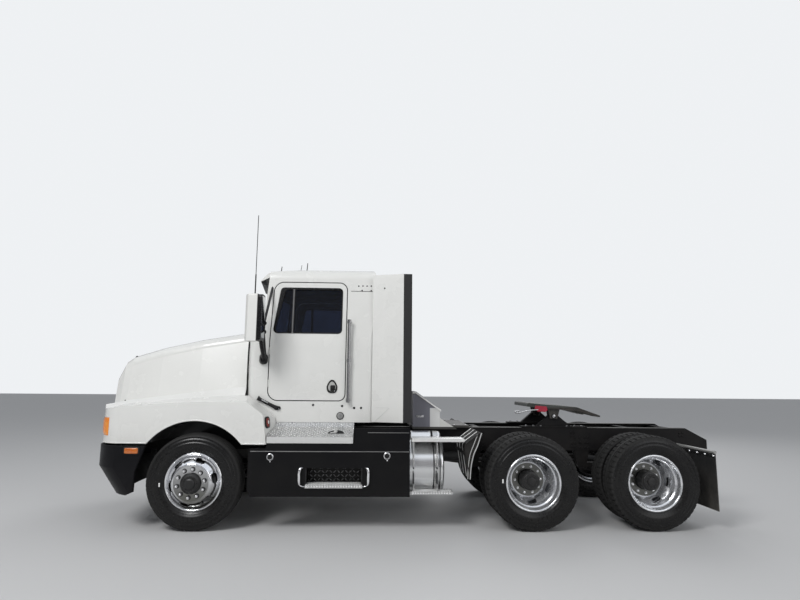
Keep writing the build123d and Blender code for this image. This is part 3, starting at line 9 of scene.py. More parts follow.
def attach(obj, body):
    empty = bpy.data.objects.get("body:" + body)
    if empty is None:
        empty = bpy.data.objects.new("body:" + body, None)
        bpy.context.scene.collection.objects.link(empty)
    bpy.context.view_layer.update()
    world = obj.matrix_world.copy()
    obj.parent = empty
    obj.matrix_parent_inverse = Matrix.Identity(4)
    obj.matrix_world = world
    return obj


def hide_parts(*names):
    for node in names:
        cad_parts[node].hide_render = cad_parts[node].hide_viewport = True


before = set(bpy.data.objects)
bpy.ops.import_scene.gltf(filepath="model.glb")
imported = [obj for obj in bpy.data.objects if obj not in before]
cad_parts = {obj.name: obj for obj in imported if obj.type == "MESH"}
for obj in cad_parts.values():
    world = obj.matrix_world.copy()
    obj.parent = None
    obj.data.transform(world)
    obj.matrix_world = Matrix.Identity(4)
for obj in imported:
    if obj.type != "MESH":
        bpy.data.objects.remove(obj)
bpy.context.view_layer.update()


# Camera, floor and light
# The photograph is taken from beside the front axle, with the lens 1.55 m over the ground and tilted up.
# The floor is a pale painted one, and the light is that of a plain soft-lit studio.
front_axle_x, mid_axle_x, rear_axle_x = -2.4, 1.198, 2.518
camera_place = Vector((front_axle_x + 1.924, -7.402, 1.546))
camera_yaw, camera_pitch, camera_roll = (math.radians(angle) for angle in (2.12, 8.32, 0.47))
sensor_width, photo_width, lens_in_pixels = 36.0, 800, 567.3

ahead_flat = Vector((math.sin(camera_yaw), math.cos(camera_yaw), 0.0))
right_flat = Vector((math.cos(camera_yaw), -math.sin(camera_yaw), 0.0))
upright = Vector((0.0, 0.0, 1.0))
ahead = math.cos(camera_pitch) * ahead_flat + math.sin(camera_pitch) * upright
over = math.cos(camera_pitch) * upright - math.sin(camera_pitch) * ahead_flat
right = math.cos(camera_roll) * right_flat + math.sin(camera_roll) * over
up = math.cos(camera_roll) * over - math.sin(camera_roll) * right_flat

camera_data = bpy.data.cameras.new("camera")
camera_data.sensor_width = sensor_width
camera_data.lens = lens_in_pixels * sensor_width / photo_width
camera = bpy.data.objects.new("camera", camera_data)
camera.matrix_world = Matrix([(right[k], up[k], -ahead[k], camera_place[k]) for k in range(3)] + [(0.0, 0.0, 0.0, 1.0)])
bpy.context.scene.collection.objects.link(camera)
bpy.context.scene.camera = camera
bpy.context.scene.view_settings.view_transform = "Standard"


def bare_material(name):
    """New material with only its output and a Principled shader; returns material, tree, shader."""
    material = bpy.data.materials.new(name)
    material.use_nodes = True
    tree = material.node_tree
    return material, tree, tree.nodes["Principled BSDF"]


def wire(tree, node, inputs):
    """Fills a node's inputs, by name or number: another node's output is linked, and anything else is a set value."""
    for key, value in inputs.items():
        if isinstance(value, bpy.types.NodeSocket):
            tree.links.new(value, node.inputs[key])
        else:
            node.inputs[key].default_value = value
    return node


def new_node(tree, kind, inputs, operation=None):
    """New shader node with its inputs filled."""
    node = tree.nodes.new("ShaderNode" + kind)
    if operation:
        node.operation = operation
    return wire(tree, node, inputs)


def number(tree, operation, first, second=0.0):
    """Sum, product or the like of two numbers."""
    return new_node(tree, "Math", {0: first, 1: second}, operation).outputs["Value"]


def ramp(tree, share, *stops):
    """Colour that runs from stop to stop as the share rises; a stop is (place, colour)."""
    node = new_node(tree, "ValToRGB", {"Fac": share})
    elements = node.color_ramp.elements
    for element, (position, colour) in zip(elements, (stops[0], stops[-1])):
        element.position, element.color = position, (*colour, 1.0)
    for position, colour in stops[1:-1]:
        elements.new(position).color = (*colour, 1.0)
    return node.outputs["Color"]


def studio_world():
    """World that lights evenly and shows a pale backdrop to the camera, to metal and to glass."""
    world = bpy.data.worlds.new("studio")
    world.use_nodes = True
    tree = world.node_tree
    tree.nodes.clear()

    def glow(colour, strength=1.0):
        return new_node(tree, "Background", {"Color": colour, "Strength": strength}).outputs["Background"]

    sky = new_node(tree, "SeparateXYZ", {"Vector": tree.nodes.new("ShaderNodeTexCoord").outputs["Generated"]})
    bands = ramp(tree, sky.outputs["Z"], (0.46, (0.22, 0.22, 0.23)), (0.50, (0.10, 0.10, 0.11)),
                 (0.53, (0.50, 0.51, 0.53)), (0.62, (0.80, 0.84, 0.90)))
    path = tree.nodes.new("ShaderNodeLightPath").outputs
    mirrored = number(tree, "MAXIMUM", path["Is Glossy Ray"], path["Is Transmission Ray"])
    lit = new_node(tree, "MixShader", {"Fac": mirrored, 1: glow((0.93, 0.96, 1.0, 1.0), 0.38), 2: glow(bands)})
    seen = new_node(tree, "MixShader", {"Fac": path["Is Camera Ray"], 1: lit.outputs["Shader"],
                                        2: glow((0.86, 0.88, 0.90, 1.0))})
    new_node(tree, "OutputWorld", {"Surface": seen.outputs["Shader"]})
    bpy.context.scene.world = world


def studio_lamp(name, place, aim, size, power):
    """Square soft lamp that points at a spot."""
    lamp = bpy.data.lights.new(name, "AREA")
    lamp.shape = "SQUARE"
    lamp.size = size
    lamp.energy = power
    holder = bpy.data.objects.new(name, lamp)
    holder.location = place
    holder.rotation_euler = (Vector(aim) - Vector(place)).to_track_quat("-Z", "Y").to_euler()
    bpy.context.scene.collection.objects.link(holder)


studio_world()
studio_lamp("key_lamp", (-6.0, -9.0, 9.0), (0.0, 0.0, 1.0), 4.0, 780)
studio_lamp("fill_lamp", (7.0, -9.0, 5.0), (1.0, 0.0, 1.0), 7.0, 200)
studio_lamp("rear_lamp", (3.0, 9.0, 8.0), (0.0, 0.0, 1.0), 6.0, 330)

floor_reach = 60.0
floor_mesh = bpy.data.meshes.new("floor")
floor_mesh.from_pydata([(floor_reach * x, floor_reach * y, 0) for x, y in ((-1, -1), (1, -1), (1, 1), (-1, 1))],
                       [], [(0, 1, 2, 3)])
floor = bpy.data.objects.new("floor", floor_mesh)
bpy.context.scene.collection.objects.link(floor)
floor_paint, floor_tree, floor_shader = bare_material("floor_paint")
wire(floor_tree, floor_shader, {"Base Color": (0.62, 0.62, 0.62, 1.0), "Roughness": 0.75})
floor_mesh.materials.append(floor_paint)


# Frame rails, crossmembers, deck, axles and springs
# The ladder frame is pressed steel channel, riveted and bolted, under black chassis paint.
# Road dust lies in its paint, thicker towards the ground, and the rails' top flanges carry a painted highlight.
road_dust = (0.30, 0.27, 0.23)
leftward, rightward, downward = (0, -1, 0), (0, 1, 0), (0, 0, -1)


def object_place(tree):
    """Place of the shaded point in the truck's frame."""
    return tree.nodes.new("ShaderNodeTexCoord").outputs["Object"]


def ranged(tree, value, low, high, at_low=0.0, at_high=1.0):
    """Number that runs evenly from one value to another while the given one runs between two limits."""
    return new_node(tree, "MapRange", {"Value": value, "From Min": low, "From Max": high, "To Min": at_low,
                                       "To Max": at_high}).outputs["Result"]


def noise(tree, scale, detail, roughness=0.5):
    """Soft clouds of a given size over the truck."""
    return new_node(tree, "TexNoise", {"Vector": object_place(tree), "Scale": scale, "Detail": detail,
                                       "Roughness": roughness}).outputs["Fac"]


def finish(name, colour, second, patch=3.0, roughness=(0.4, 0.6), metallic=0.0, grain=400.0, depth=0.0002,
           coat=0.0, dust=None, shine=0.5):
    """Finish of two mixed colours: a slow noise mixes them, a second one sets the gloss, and a fine one the grain.

    dust is (height at which it starts to fade, height at which it is gone, amount), and shine is how strongly a
    surface that isn't metal mirrors its surroundings.
    """
    material, tree, shader = bare_material(name)
    bump = new_node(tree, "Bump", {"Strength": 0.6, "Distance": depth, "Height": noise(tree, grain, 3.0)})
    wire(tree, shader, {
        "Metallic": metallic, "Specular IOR Level": shine, "Coat Weight": coat, "Coat Roughness": 0.06,
        "Base Color": ramp(tree, noise(tree, patch, 5.0, 0.6), (0.35, colour), (0.75, second)),
        "Roughness": ranged(tree, noise(tree, patch * 4.0, 4.0), 0.3, 0.7, *roughness),
        "Normal": bump.outputs["Normal"],
    })
    if dust:
        low, high, amount = dust
        share = product(material, fades(material, "Z", low, high, amount, 0.0), noise(tree, patch * 2.5, 6.0))
        zone(material, share, road_dust, 0.75)
    return material


def fades(material, letter, low, high, at_low, at_high):
    """Number that runs evenly from one value to another between two places along x, y or z."""
    tree = material.node_tree
    place = new_node(tree, "SeparateXYZ", {"Vector": object_place(tree)})
    return ranged(tree, place.outputs[letter], low, high, at_low, at_high)


def near_axis(material, x, z, radius, soft=0.002, inside=1.0):
    """One inside a radius of an axis that lies along y, and nought outside it, or the other way round."""
    tree = material.node_tree
    flat = new_node(tree, "VectorMath", {0: object_place(tree), 1: (1.0, 0.0, 1.0)}, "MULTIPLY")
    away = new_node(tree, "VectorMath", {0: flat.outputs["Vector"], 1: (x, 0.0, z)}, "DISTANCE")
    return ranged(tree, away.outputs["Value"], radius - soft, radius + soft, inside, 1.0 - inside)


def product(material, *shares):
    """Product of numbers, so that a zone is where all of them are one."""
    result = shares[-1]
    for share in shares[-2::-1]:
        result = number(material.node_tree, "MULTIPLY", share, result)
    return result


def zone(material, share, colour, roughness, metallic=None):
    """Lays another colour and gloss over a finish, by a share from nought to one."""
    tree = material.node_tree
    shader = tree.nodes["Principled BSDF"]
    paint = tree.nodes.new("ShaderNodeMix")
    paint.data_type = "RGBA"
    wire(tree, paint, {0: share, 6: shader.inputs["Base Color"].links[0].from_socket, 7: (*colour, 1.0)})
    gloss = new_node(tree, "Mix", {0: share, 2: shader.inputs["Roughness"].links[0].from_socket, 3: roughness})
    wire(tree, shader, {"Base Color": paint.outputs[2], "Roughness": gloss.outputs[0]})
    if metallic is not None:
        metal = new_node(tree, "Mix", {0: share, 2: shader.inputs["Metallic"].default_value, 3: metallic})
        wire(tree, shader, {"Metallic": metal.outputs[0]})


def dress(material, *names):
    """Puts a finish on CAD nodes."""
    for name in names:
        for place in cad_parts[name].material_slots:
            place.material = material


def grid_shape(points, round_rows=False, round_columns=False, ends=False):
    """Faces of a grid of points (rows, columns, 3): each point joins the next in its row and in its column.

    A round direction joins its last line to its first, and ends closes the first and last rows with a flat face.
    """
    rows, columns = points.shape[:2]
    i, j = np.meshgrid(np.arange(rows - (not round_rows)), np.arange(columns - (not round_columns)), indexing="ij")
    i, j = i.ravel(), j.ravel()
    across, along = (j + 1) % columns, (i + 1) % rows
    quads = np.stack([i * columns + j, i * columns + across, along * columns + across, along * columns + j], axis=1)
    caps = [np.arange(columns), (rows - 1) * columns + np.arange(columns)] if ends else []
    return points.reshape(-1, 3), quads, caps


def make_piece(name, shapes, material, body="chassis", hides=(), soften=0.0, crease=40.0):
    """Joins shapes into one object: doubles merged, faces turned outward, edges sharper than the crease kept sharp."""
    points, faces, start = [], [], 0
    for shape_points, quads, caps in shapes:
        points.append(shape_points)
        faces += (quads + start).tolist()
        faces += [(cap + start).tolist() for cap in caps]
        start += len(shape_points)
    mesh = bpy.data.meshes.new(name)
    mesh.from_pydata(np.concatenate(points).tolist(), [], faces)
    work = bmesh.new()
    work.from_mesh(mesh)
    bmesh.ops.remove_doubles(work, verts=work.verts, dist=1e-6)
    bmesh.ops.recalc_face_normals(work, faces=work.faces)
    work.to_mesh(mesh)
    work.free()
    mesh.polygons.foreach_set("use_smooth", np.ones(len(mesh.polygons), dtype=bool))
    mesh.set_sharp_from_angle(angle=math.radians(crease))
    mesh.materials.append(material)
    piece = bpy.data.objects.new(name, mesh)
    bpy.context.scene.collection.objects.link(piece)
    if soften:
        bevel = piece.modifiers.new("soft_edges", "BEVEL")
        bevel.width = soften
        bevel.segments = 2
        bevel.limit_method = "ANGLE"
        bevel.angle_limit = math.radians(crease)
    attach(piece, body)
    if hides:
        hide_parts(*hides)
    return piece


def both_sides(shapes):
    """Shapes and their mirror images across the centre line."""
    return list(shapes) + [(points * (1.0, -1.0, 1.0), quads, caps) for points, quads, caps in shapes]


def make_pair(name, shapes, material, body="chassis", **options):
    """One piece of shapes and of their mirror images across the centre line."""
    return make_piece(name, both_sides(shapes), material, body, **options)


def unit(vectors):
    """Vectors cut to length one."""
    return vectors / np.linalg.norm(vectors, axis=-1, keepdims=True)


def square_to(axis):
    """Axis cut to length one, and two directions that are square to it and to each other."""
    axis = unit(np.asarray(axis, dtype=float))
    side = unit(np.cross(axis, (0.0, 0.0, 1.0) if abs(axis[2]) < 0.9 else (1.0, 0.0, 0.0)))
    return axis, side, np.cross(axis, side)


def round_angles(count):
    """Even angles round a circle."""
    return np.linspace(0.0, 2 * math.pi, count, endpoint=False)


def turned(profile, centre, axis, segments=64, loop=False):
    """Profile of (radius, distance along the axis) carried round it.

    A point is the centre, plus its distance along the axis, plus its radius times the cosine and sine of the angle.
    """
    axis, side, other = square_to(axis)
    angle = round_angles(segments)[:, None, None]
    radius, along = np.asarray(profile, dtype=float).T[:, None, :, None]
    points = np.asarray(centre) + along * axis + radius * (np.cos(angle) * side + np.sin(angle) * other)
    return grid_shape(points, round_rows=True, round_columns=loop)


def tube(path, radius, sides=12, closed=False):
    """Round bar along a path: at each point a circle stands square to the path's direction there."""
    path = np.asarray(path, dtype=float)
    heading = unit(np.roll(path, -1, axis=0) - np.roll(path, 1, axis=0) if closed else np.gradient(path, axis=0))
    level = np.eye(3)[np.argmin(np.abs(heading).mean(axis=0))]
    side = unit(np.cross(heading, level))
    other = np.cross(heading, side)
    angle = round_angles(sides)[None, :, None]
    reach = np.broadcast_to(np.asarray(radius, dtype=float), (len(path),))[:, None, None]
    points = path[:, None] + reach * (np.cos(angle) * side[:, None] + np.sin(angle) * other[:, None])
    return grid_shape(points, round_rows=closed, round_columns=True, ends=not closed)


def widths(path, shares, values):
    """Radius at each point of a path, read from values at shares of the way along it."""
    return np.interp(np.linspace(0, 1, len(path)), shares, values)


def laid(outline, level, letters="xzy"):
    """Flat outline placed in space; letters name its two axes and then the axis along which its level is."""
    outline = np.asarray(outline, dtype=float)
    points = np.empty((len(outline), 3))
    for letter, column in zip(letters, (outline[:, 0], outline[:, 1], level)):
        points[:, "xyz".index(letter)] = column
    return points


def prism(outline, low, high, letters="xzy"):
    """Outline carried from one level to another."""
    return grid_shape(np.stack([laid(outline, level, letters) for level in (low, high)]), round_columns=True, ends=True)


def round_box(first, second, radius, steps=5):
    """Rectangle between two pairs of limits, each corner a quarter circle."""
    turn = np.linspace(0.0, math.pi / 2, steps)
    corners = [(first[1], second[1]), (first[0], second[1]), (first[0], second[0]), (first[1], second[0])]
    inward = [(-1, -1), (1, -1), (1, 1), (-1, 1)]
    lines = []
    for k, ((a, b), (da, db)) in enumerate(zip(corners, inward)):
        angle = turn + k * math.pi / 2
        lines.append(np.stack([a + da * radius + radius * np.cos(angle), b + db * radius + radius * np.sin(angle)],
                              axis=1))
    return np.concatenate(lines)


def crossed(first, second):
    """Every pair of a value of the first list and one of the second."""
    return np.stack([column.ravel() for column in np.meshgrid(first, second)], axis=1)


def heads(places, axis, profile, sides=6):
    """The same small turned shape at many places; profile is (radius, height), and the last row is closed flat."""
    axis, side, other = square_to(axis)
    angle = round_angles(sides)[None, :, None]
    radius, height = np.asarray(profile, dtype=float).T[:, :, None, None]
    one = height * axis + radius * (np.cos(angle) * side + np.sin(angle) * other)
    points, quads, caps = grid_shape(one, round_columns=True, ends=True)
    places = np.asarray(places, dtype=float)
    steps = np.arange(len(places)) * len(points)
    return (
        (places[:, None] + points[None]).reshape(-1, 3),
        (quads[None] + steps[:, None, None]).reshape(-1, 4),
        [cap + step for step in steps for cap in caps],
    )


chassis_paint, rail_paint = (
    finish(name, (0.006, 0.006, 0.007), (0.013, 0.012, 0.012), patch=4.0, roughness=(0.35, 0.6), grain=250.0,
           depth=0.0004, dust=(0.2, 1.2, 0.09), shine=0.15) for name in ("chassis_paint", "rail_paint"))
dress(chassis_paint, "crossmembers", "deck", "hood_hinges", "front_axle_beam", "front_springs", "knuckle_left",
      "knuckle_right", "tie_rod", "drive_axles", "rear_suspension")
# The rails' top edge is painted lighter grey as a painted highlight.
zone(rail_paint, fades(rail_paint, "Z", 1.0235, 1.0245, 0.0, 0.75), (0.22, 0.22, 0.21), 0.5)
dress(rail_paint, "frame_rails")
tank_paint = finish("tank_paint", (0.02, 0.02, 0.021), (0.035, 0.034, 0.033), patch=7.0, roughness=(0.3, 0.5))
dress(tank_paint, "air_tanks")

bolt_profile = [(0.012, 0.0), (0.012, 0.008), (0.009, 0.011)]
member_x = np.array([-3.19, -1.0, 0.02, 0.74, 1.858, 2.68, 3.2])
member_bolts = crossed(np.concatenate([member_x + 0.015, member_x + 0.055]), [0.80, 0.84, 0.93, 0.97])
hanger_bolts = crossed([0.60, 0.66, 0.76, 1.92, 1.98, 2.08, 1.30, 1.42, 1.92, 2.04], [0.79, 0.85, 0.91])
rail_y = -0.432
frame_bolts = [heads(laid(places, rail_y), leftward, bolt_profile) for places in (member_bolts, hanger_bolts)]
make_pair("frame_bolts", frame_bolts, chassis_paint)

clamp_steps = np.linspace(0.0, math.pi, 9)
u_bolts = [tube([(x, y, z) for z in np.linspace(0.34, 0.575, 4)], 0.009, 8) for x in (-2.46, -2.34)
           for y in (-0.430, -0.340)]
for axle_x in (mid_axle_x, rear_axle_x):
    for x in (axle_x - 0.075, axle_x + 0.075):
        arch = np.stack([-0.388 + 0.045 * np.cos(clamp_steps), 0.60 + 0.035 * np.sin(clamp_steps)], axis=1)
        bend = laid(arch, x, "yzx")
        legs = [(x, -0.343, z) for z in (0.42, 0.5)]
        far = [(x, -0.433, z) for z in (0.5, 0.42)]
        u_bolts.append(tube(np.array(legs + bend.tolist() + far), 0.009, 8))
make_pair("spring_u_bolts", u_bolts, chassis_paint)

air_lines = []
line_x = np.linspace(0.45, 3.05, 60)
sway = 0.006 * np.sin(line_x * 9.0)
for y, height in ((-0.330, 0.980), (-0.308, 0.955)):
    air_lines.append(tube(np.stack([line_x, y + sway, height + 0.5 * sway], axis=1), 0.008, 8))
make_pair("air_lines", air_lines, chassis_paint)


# Tyres
# Radial truck tyres: ribs on the steered axle, and rib and lug tread on the duals, in near-black rubber.
# Each is one casing, seated on the rim's tapers, with two stepped rings and shallow teeth on its side, and the
# sides are glossy with dressing.
hub_z = 0.5
single_plane, outer_plane, inner_plane = 1.05, 1.085, 0.749
tyre_rubber = finish("tyre_rubber", (0.0045, 0.0045, 0.005), (0.008, 0.008, 0.008), patch=9.0, roughness=(0.22, 0.36),
                     grain=600.0, depth=0.0002, dust=(0.0, 1.2, 0.03), shine=0.3)
tread_share = product(tyre_rubber, *(near_axis(tyre_rubber, axle_x, hub_z, 0.472, 0.01, 0.0)
                                     for axle_x in (front_axle_x, mid_axle_x, rear_axle_x)))
zone(tyre_rubber, tread_share, (0.020, 0.0195, 0.019), 0.85)


def curve_through(points, steps):
    """Smooth curve through points: each run is the cubic whose slope at a point is half its neighbours' chord."""
    points = np.asarray(points, dtype=float)
    longer = np.vstack([2 * points[0] - points[1], points, 2 * points[-1] - points[-2]])
    t = np.linspace(0.0, 1.0, steps, endpoint=False)[None, :, None]
    a, b, c, d = (longer[start:len(longer) - 3 + start, None] for start in range(4))
    curve = 0.5 * (2 * b + (c - a) * t + (2 * a - 5 * b + 4 * c - d) * t**2 + (3 * b - a - 3 * c + d) * t**3)
    return np.vstack([curve.reshape(-1, points.shape[1]), points[-1]])


def ease(value, low, high):
    """Nought below the low limit, one above the high one, and a smooth step between."""
    t = np.clip((value - low) / (high - low), 0.0, 1.0)
    return t * t * (3 - 2 * t)


tyre_side = curve_through(
    [(0.276, 0.060), (0.2865, 0.103), (0.2985, 0.1062), (0.318, 0.1205), (0.332, 0.1262), (0.352, 0.1362),
     (0.372, 0.1384), (0.398, 0.1388), (0.404, 0.1368), (0.411, 0.1332), (0.416, 0.1322), (0.434, 0.1322),
     (0.439, 0.1306), (0.449, 0.1258), (0.455, 0.1244), (0.474, 0.1215), (0.4885, 0.112), (0.4925, 0.0985)], 2)
tyre_side[:, 1] = np.minimum(tyre_side[:, 1], 0.139)


def tyre_shape(x, plane_y, lugs):
    """Casing about its axle: a side curve from bead to shoulder with two steps, teeth on the shoulder, and the tread.

    The tread's radius is the crown's, less the depth of the grooves: rings of grooves at fixed places across it, and
    for the lugs, cuts across the outer thirds that repeat round the tyre.
    """
    if lugs:
        grooves, first_edge, pitch, steps = ((0.030, 0.006), (0.066, 0.005)), 0.0075, 52, (0.0, 0.05, 0.26, 0.31)
    else:
        grooves, first_edge, pitch, steps = (
            ((0.0165, 0.005), (0.051, 0.0055), (0.0885, 0.0015)), 0.008, 72, (0.0, 0.3, 0.5, 0.8))
    edges = {0.0, first_edge, 0.044, 0.058, 0.078, 0.082}
    for middle, half in grooves:
        edges |= {middle - half - 0.0008, middle - half, middle + half, middle + half + 0.0008}
    across = np.array(sorted(edges))[::-1]
    groove_depth = np.max([(np.abs(across - middle) < half + 0.0001) * 0.013 for middle, half in grooves], axis=0)
    crown = 0.4998 - 0.0068 * (across / 0.0985) ** 2
    half_profile = np.vstack([tyre_side, np.stack([crown - groove_depth, across], axis=1)])
    profile = np.vstack([half_profile, half_profile[-2::-1] * (1, -1)])
    angle = ((np.arange(pitch)[:, None] + steps) * 2 * math.pi / pitch).ravel()[:, None]
    cut = np.tile([0.0, 1.0, 1.0, 0.0], pitch)[:, None]
    reach = np.abs(profile[:, 1])
    outer = (profile[:, 0] > 0.474).astype(float)
    if lugs:
        share = cut * ease(reach, 0.036, 0.044) * outer
        radius = profile[:, 0] - share * np.where(profile[:, 0] > 0.4885, 0.011, 0.003)
        place = profile[:, 1] * (1 - 0.035 * share * (profile[:, 0] < 0.492))
    else:
        share = cut * ease(reach, 0.10, 0.112) * outer
        radius = profile[:, 0] - share * 0.0028
        place = profile[:, 1] * (1 - 0.014 * share)
    points = np.stack([x + radius * np.cos(angle), plane_y + place, hub_z + radius * np.sin(angle)], axis=2)
    return grid_shape(points, round_rows=True, round_columns=True)


for side_name, hand in (("left", -1), ("right", 1)):
    make_piece(f"front_tyre_{side_name}", [tyre_shape(front_axle_x, hand * single_plane, False)], tyre_rubber,
               f"wheel_front_{side_name}", [f"tyre_front_{side_name}"], crease=50)
    for axle_name, axle_x in (("mid", mid_axle_x), ("rear", rear_axle_x)):
        make_piece(f"dual_tyres_{axle_name}_{side_name}",
                   [tyre_shape(axle_x, hand * plane, True) for plane in (outer_plane, inner_plane)], tyre_rubber,
                   f"wheels_{axle_name}_{side_name}", [f"tyres_{axle_name}_{side_name}"], crease=50)
# A small white patch stands proud on the near sidewall of the front tyre and of the forward dual.
sidewall_patch_white = finish("sidewall_patch_white", (0.80, 0.80, 0.79), (0.70, 0.70, 0.69), patch=60.0, roughness=(0.4, 0.5))
patch_outline = round_box((-0.008, 0.008), (-0.020, 0.020), 0.003, 3)
for node, place, outer_y in (("wheel_front_left", (-2.742, 0.474), -1.1815),
                             ("wheels_mid_left", (0.861, 0.524), -1.2165)):
    make_piece(f"{node}_white_patch", [prism(patch_outline + place, outer_y, outer_y - 0.0034)], sidewall_patch_white, node)


# Wheels
# Forged aluminium disc wheels, polished, with six hand holes and ten nuts on black iron hubs; the dual's outer
# wheel turns its dish outwards. Each disc is machined with a bright ring round its mounting face.
wheel_aluminium = finish("wheel_aluminium", (0.88, 0.885, 0.90), (0.80, 0.805, 0.82), patch=14.0,
                         roughness=(0.04, 0.14), metallic=1.0, grain=900.0, depth=0.00003)
# On the steered wheels the mounting face inside the bright ring is painted darker, most towards the bottom, as a
# painted dark reflection.
zone(wheel_aluminium, product(wheel_aluminium, near_axis(wheel_aluminium, front_axle_x, hub_z, 0.1835),
                              fades(wheel_aluminium, "Z", 0.38, 0.66, 1.0, 0.55)), (0.20, 0.20, 0.195), 0.16)
# The disc's lower part, most towards the rear, is painted darker as a painted reflection of the ground.
zone(wheel_aluminium, product(wheel_aluminium, near_axis(wheel_aluminium, front_axle_x, hub_z, 0.272),
                              fades(wheel_aluminium, "Z", 0.34, 0.50, 0.8, 0.0),
                              fades(wheel_aluminium, "X", -2.62, -2.45, 0.3, 1.0)), (0.16, 0.16, 0.14), 0.15)
dual_aluminium = finish("dual_aluminium", (0.84, 0.85, 0.87), (0.70, 0.71, 0.73), patch=9.0,
                        roughness=(0.12, 0.28), metallic=0.8, grain=900.0, depth=0.00003)
# Deep in each outer dual's dish the mounting face is painted darker as painted shade.
for axle_x in (mid_axle_x, rear_axle_x):
    zone(dual_aluminium, near_axis(dual_aluminium, axle_x, hub_z, 0.178), (0.15, 0.15, 0.14), 0.22)
hub_iron = finish("hub_iron", (0.010, 0.010, 0.010), (0.024, 0.023, 0.022), patch=18.0, roughness=(0.25, 0.5),
                  grain=180.0, depth=0.0004)
nut_steel = finish("nut_steel", (0.88, 0.88, 0.89), (0.60, 0.60, 0.60), patch=30.0, roughness=(0.08, 0.22),
                   metallic=1.0)
# The washers under the nuts are near-black as painted shade round each nut.
washer_painted_shade = finish("washer_painted_shade", (0.014, 0.014, 0.014), (0.03, 0.03, 0.03), patch=30.0, roughness=(0.3, 0.5))

rim_half = [(0.247, 0.045), (0.2635, 0.060), (0.2735, 0.100), (0.2775, 0.1115), (0.2845, 0.1175), (0.2920, 0.1178),
            (0.2975, 0.1140), (0.2983, 0.1080), (0.2955, 0.1046), (0.2862, 0.1035), (0.2762, 0.060), (0.259, 0.045)]
rim_profile = np.repeat(np.array(rim_half + [(r, -a) for r, a in reversed(rim_half)]), 2, axis=0)
rim_profile[1::2] = 0.5 * (rim_profile[1::2] + np.roll(rim_profile, -2, axis=0)[1::2])
face_line = curve_through(
    [(0.110, 0.190), (0.150, 0.190), (0.1845, 0.190), (0.1885, 0.1880), (0.1905, 0.1835), (0.199, 0.1805),
     (0.210, 0.1705), (0.225, 0.151), (0.243, 0.127), (0.258, 0.107), (0.272, 0.084)], 4)
back_line = np.array([(0.110, 0.168), (0.172, 0.168), (0.182, 0.160), (0.195, 0.144), (0.272, 0.060)])
disc_edge = 0.272
sector_half = math.pi / 6
hole_r, hole_half_r, hole_half_length = 0.2335, 0.0215, 0.052
lip_width = 0.006
cell_low, cell_high = 0.2015, 0.2655
bolt_circle = 0.142875


def face_depth(radius):
    """Distance of the disc's face from the wheel's plane, at a radius."""
    return np.interp(radius, *face_line.T)


def back_depth(radius):
    """Distance of the disc's rear face from the wheel's plane, at a radius."""
    return np.interp(radius, *back_line.T)


def disc_cells(turn):
    """Disc between two rings, one cell to each hand hole.

    A cell's border is walked round, and each border point is joined to the hole's edge, a rounded oblong whose
    half axes are raised to a power. The rows run from the border over the face to the hole, round its rolled lip,
    through the wall and back over the rear face. A point's place round the wheel is its distance along the circle
    through the holes, and its depth is read from the face or rear profile at its radius.
    """
    walk = np.linspace(-1.0, 1.0, 17)
    rise = np.linspace(-1.0, 1.0, 5)
    border_u = np.concatenate([walk[:-1], np.full(4, 1.0), walk[:0:-1], np.full(4, -1.0)])
    border_v = np.concatenate([np.full(16, -1.0), rise[:-1], np.full(16, 1.0), rise[:0:-1]])
    angle = np.arctan2(border_v, border_u * 1.25)
    power = 2 / 3.4
    hole_u = np.sign(np.cos(angle)) * np.abs(np.cos(angle)) ** power
    hole_v = np.sign(np.sin(angle)) * np.abs(np.sin(angle)) ** power
    border = np.stack([border_u * hole_r * sector_half,
                       (cell_low + cell_high) / 2 + border_v * (cell_high - cell_low) / 2], axis=1)
    hole, lip = (np.stack([hole_u * (hole_half_length + grow), hole_r + hole_v * (hole_half_r + grow)], axis=1)
                 for grow in (0.0, lip_width))
    rows = []
    for start, end, share, proud in (
            (border, lip, 0.0, 0.0), (border, lip, 0.35, 0.0), (border, lip, 0.7, 0.0), (border, lip, 1.0, 0.0),
            (lip, hole, 0.35, 0.0026), (lip, hole, 0.75, 0.0030), (lip, hole, 1.0, 0.0008)):
        flat = start * (1 - share) + end * share
        rows.append((flat, face_depth(flat[:, 1]) + proud))
    for share in (1.0, 0.5, 0.0):
        flat = border * (1 - share) + hole * share
        rows.append((flat, back_depth(flat[:, 1])))
    flat = np.stack([row[0] for row in rows])
    depth = np.stack([row[1] for row in rows])
    cells = []
    for k in range(6):
        theta = turn + k * math.pi / 3 + flat[:, :, 0] / hole_r
        points = np.stack([flat[:, :, 1] * np.cos(theta), depth, flat[:, :, 1] * np.sin(theta)], axis=2)
        cells.append(grid_shape(points, round_columns=True))
    return cells


def wheel_ring(profile, turn=0.0, closed=False):
    """Profile of (radius, distance from the wheel's plane) carried round the axle."""
    theta = turn + round_angles(96)[:, None]
    radius, depth = np.asarray(profile).T[:, None, :]
    points = np.stack([radius * np.cos(theta), np.broadcast_to(depth, (96, depth.shape[1])), radius * np.sin(theta)],
                      axis=2)
    return grid_shape(points, round_rows=True, round_columns=closed)


def disc_rings(turn, holes):
    """Plain rings of the disc inside and outside its cells: turned profiles that share the cells' points."""
    low = cell_low if holes else disc_edge
    inner_face = [(r, a) for r, a in face_line if r < low - 0.001]
    inner_back = [(r, a) for r, a in back_line if r < low - 0.001]
    edge = [(low, face_depth(low))], [(low, back_depth(low))]
    outer = edge[0] + edge[1]
    if holes:
        outer = [(cell_high, face_depth(cell_high)), (disc_edge, 0.084), (disc_edge, 0.060),
                 (cell_high, back_depth(cell_high))]
    return [wheel_ring(edge[0] + inner_face[::-1] + inner_back + edge[1], turn), wheel_ring(outer, turn)]


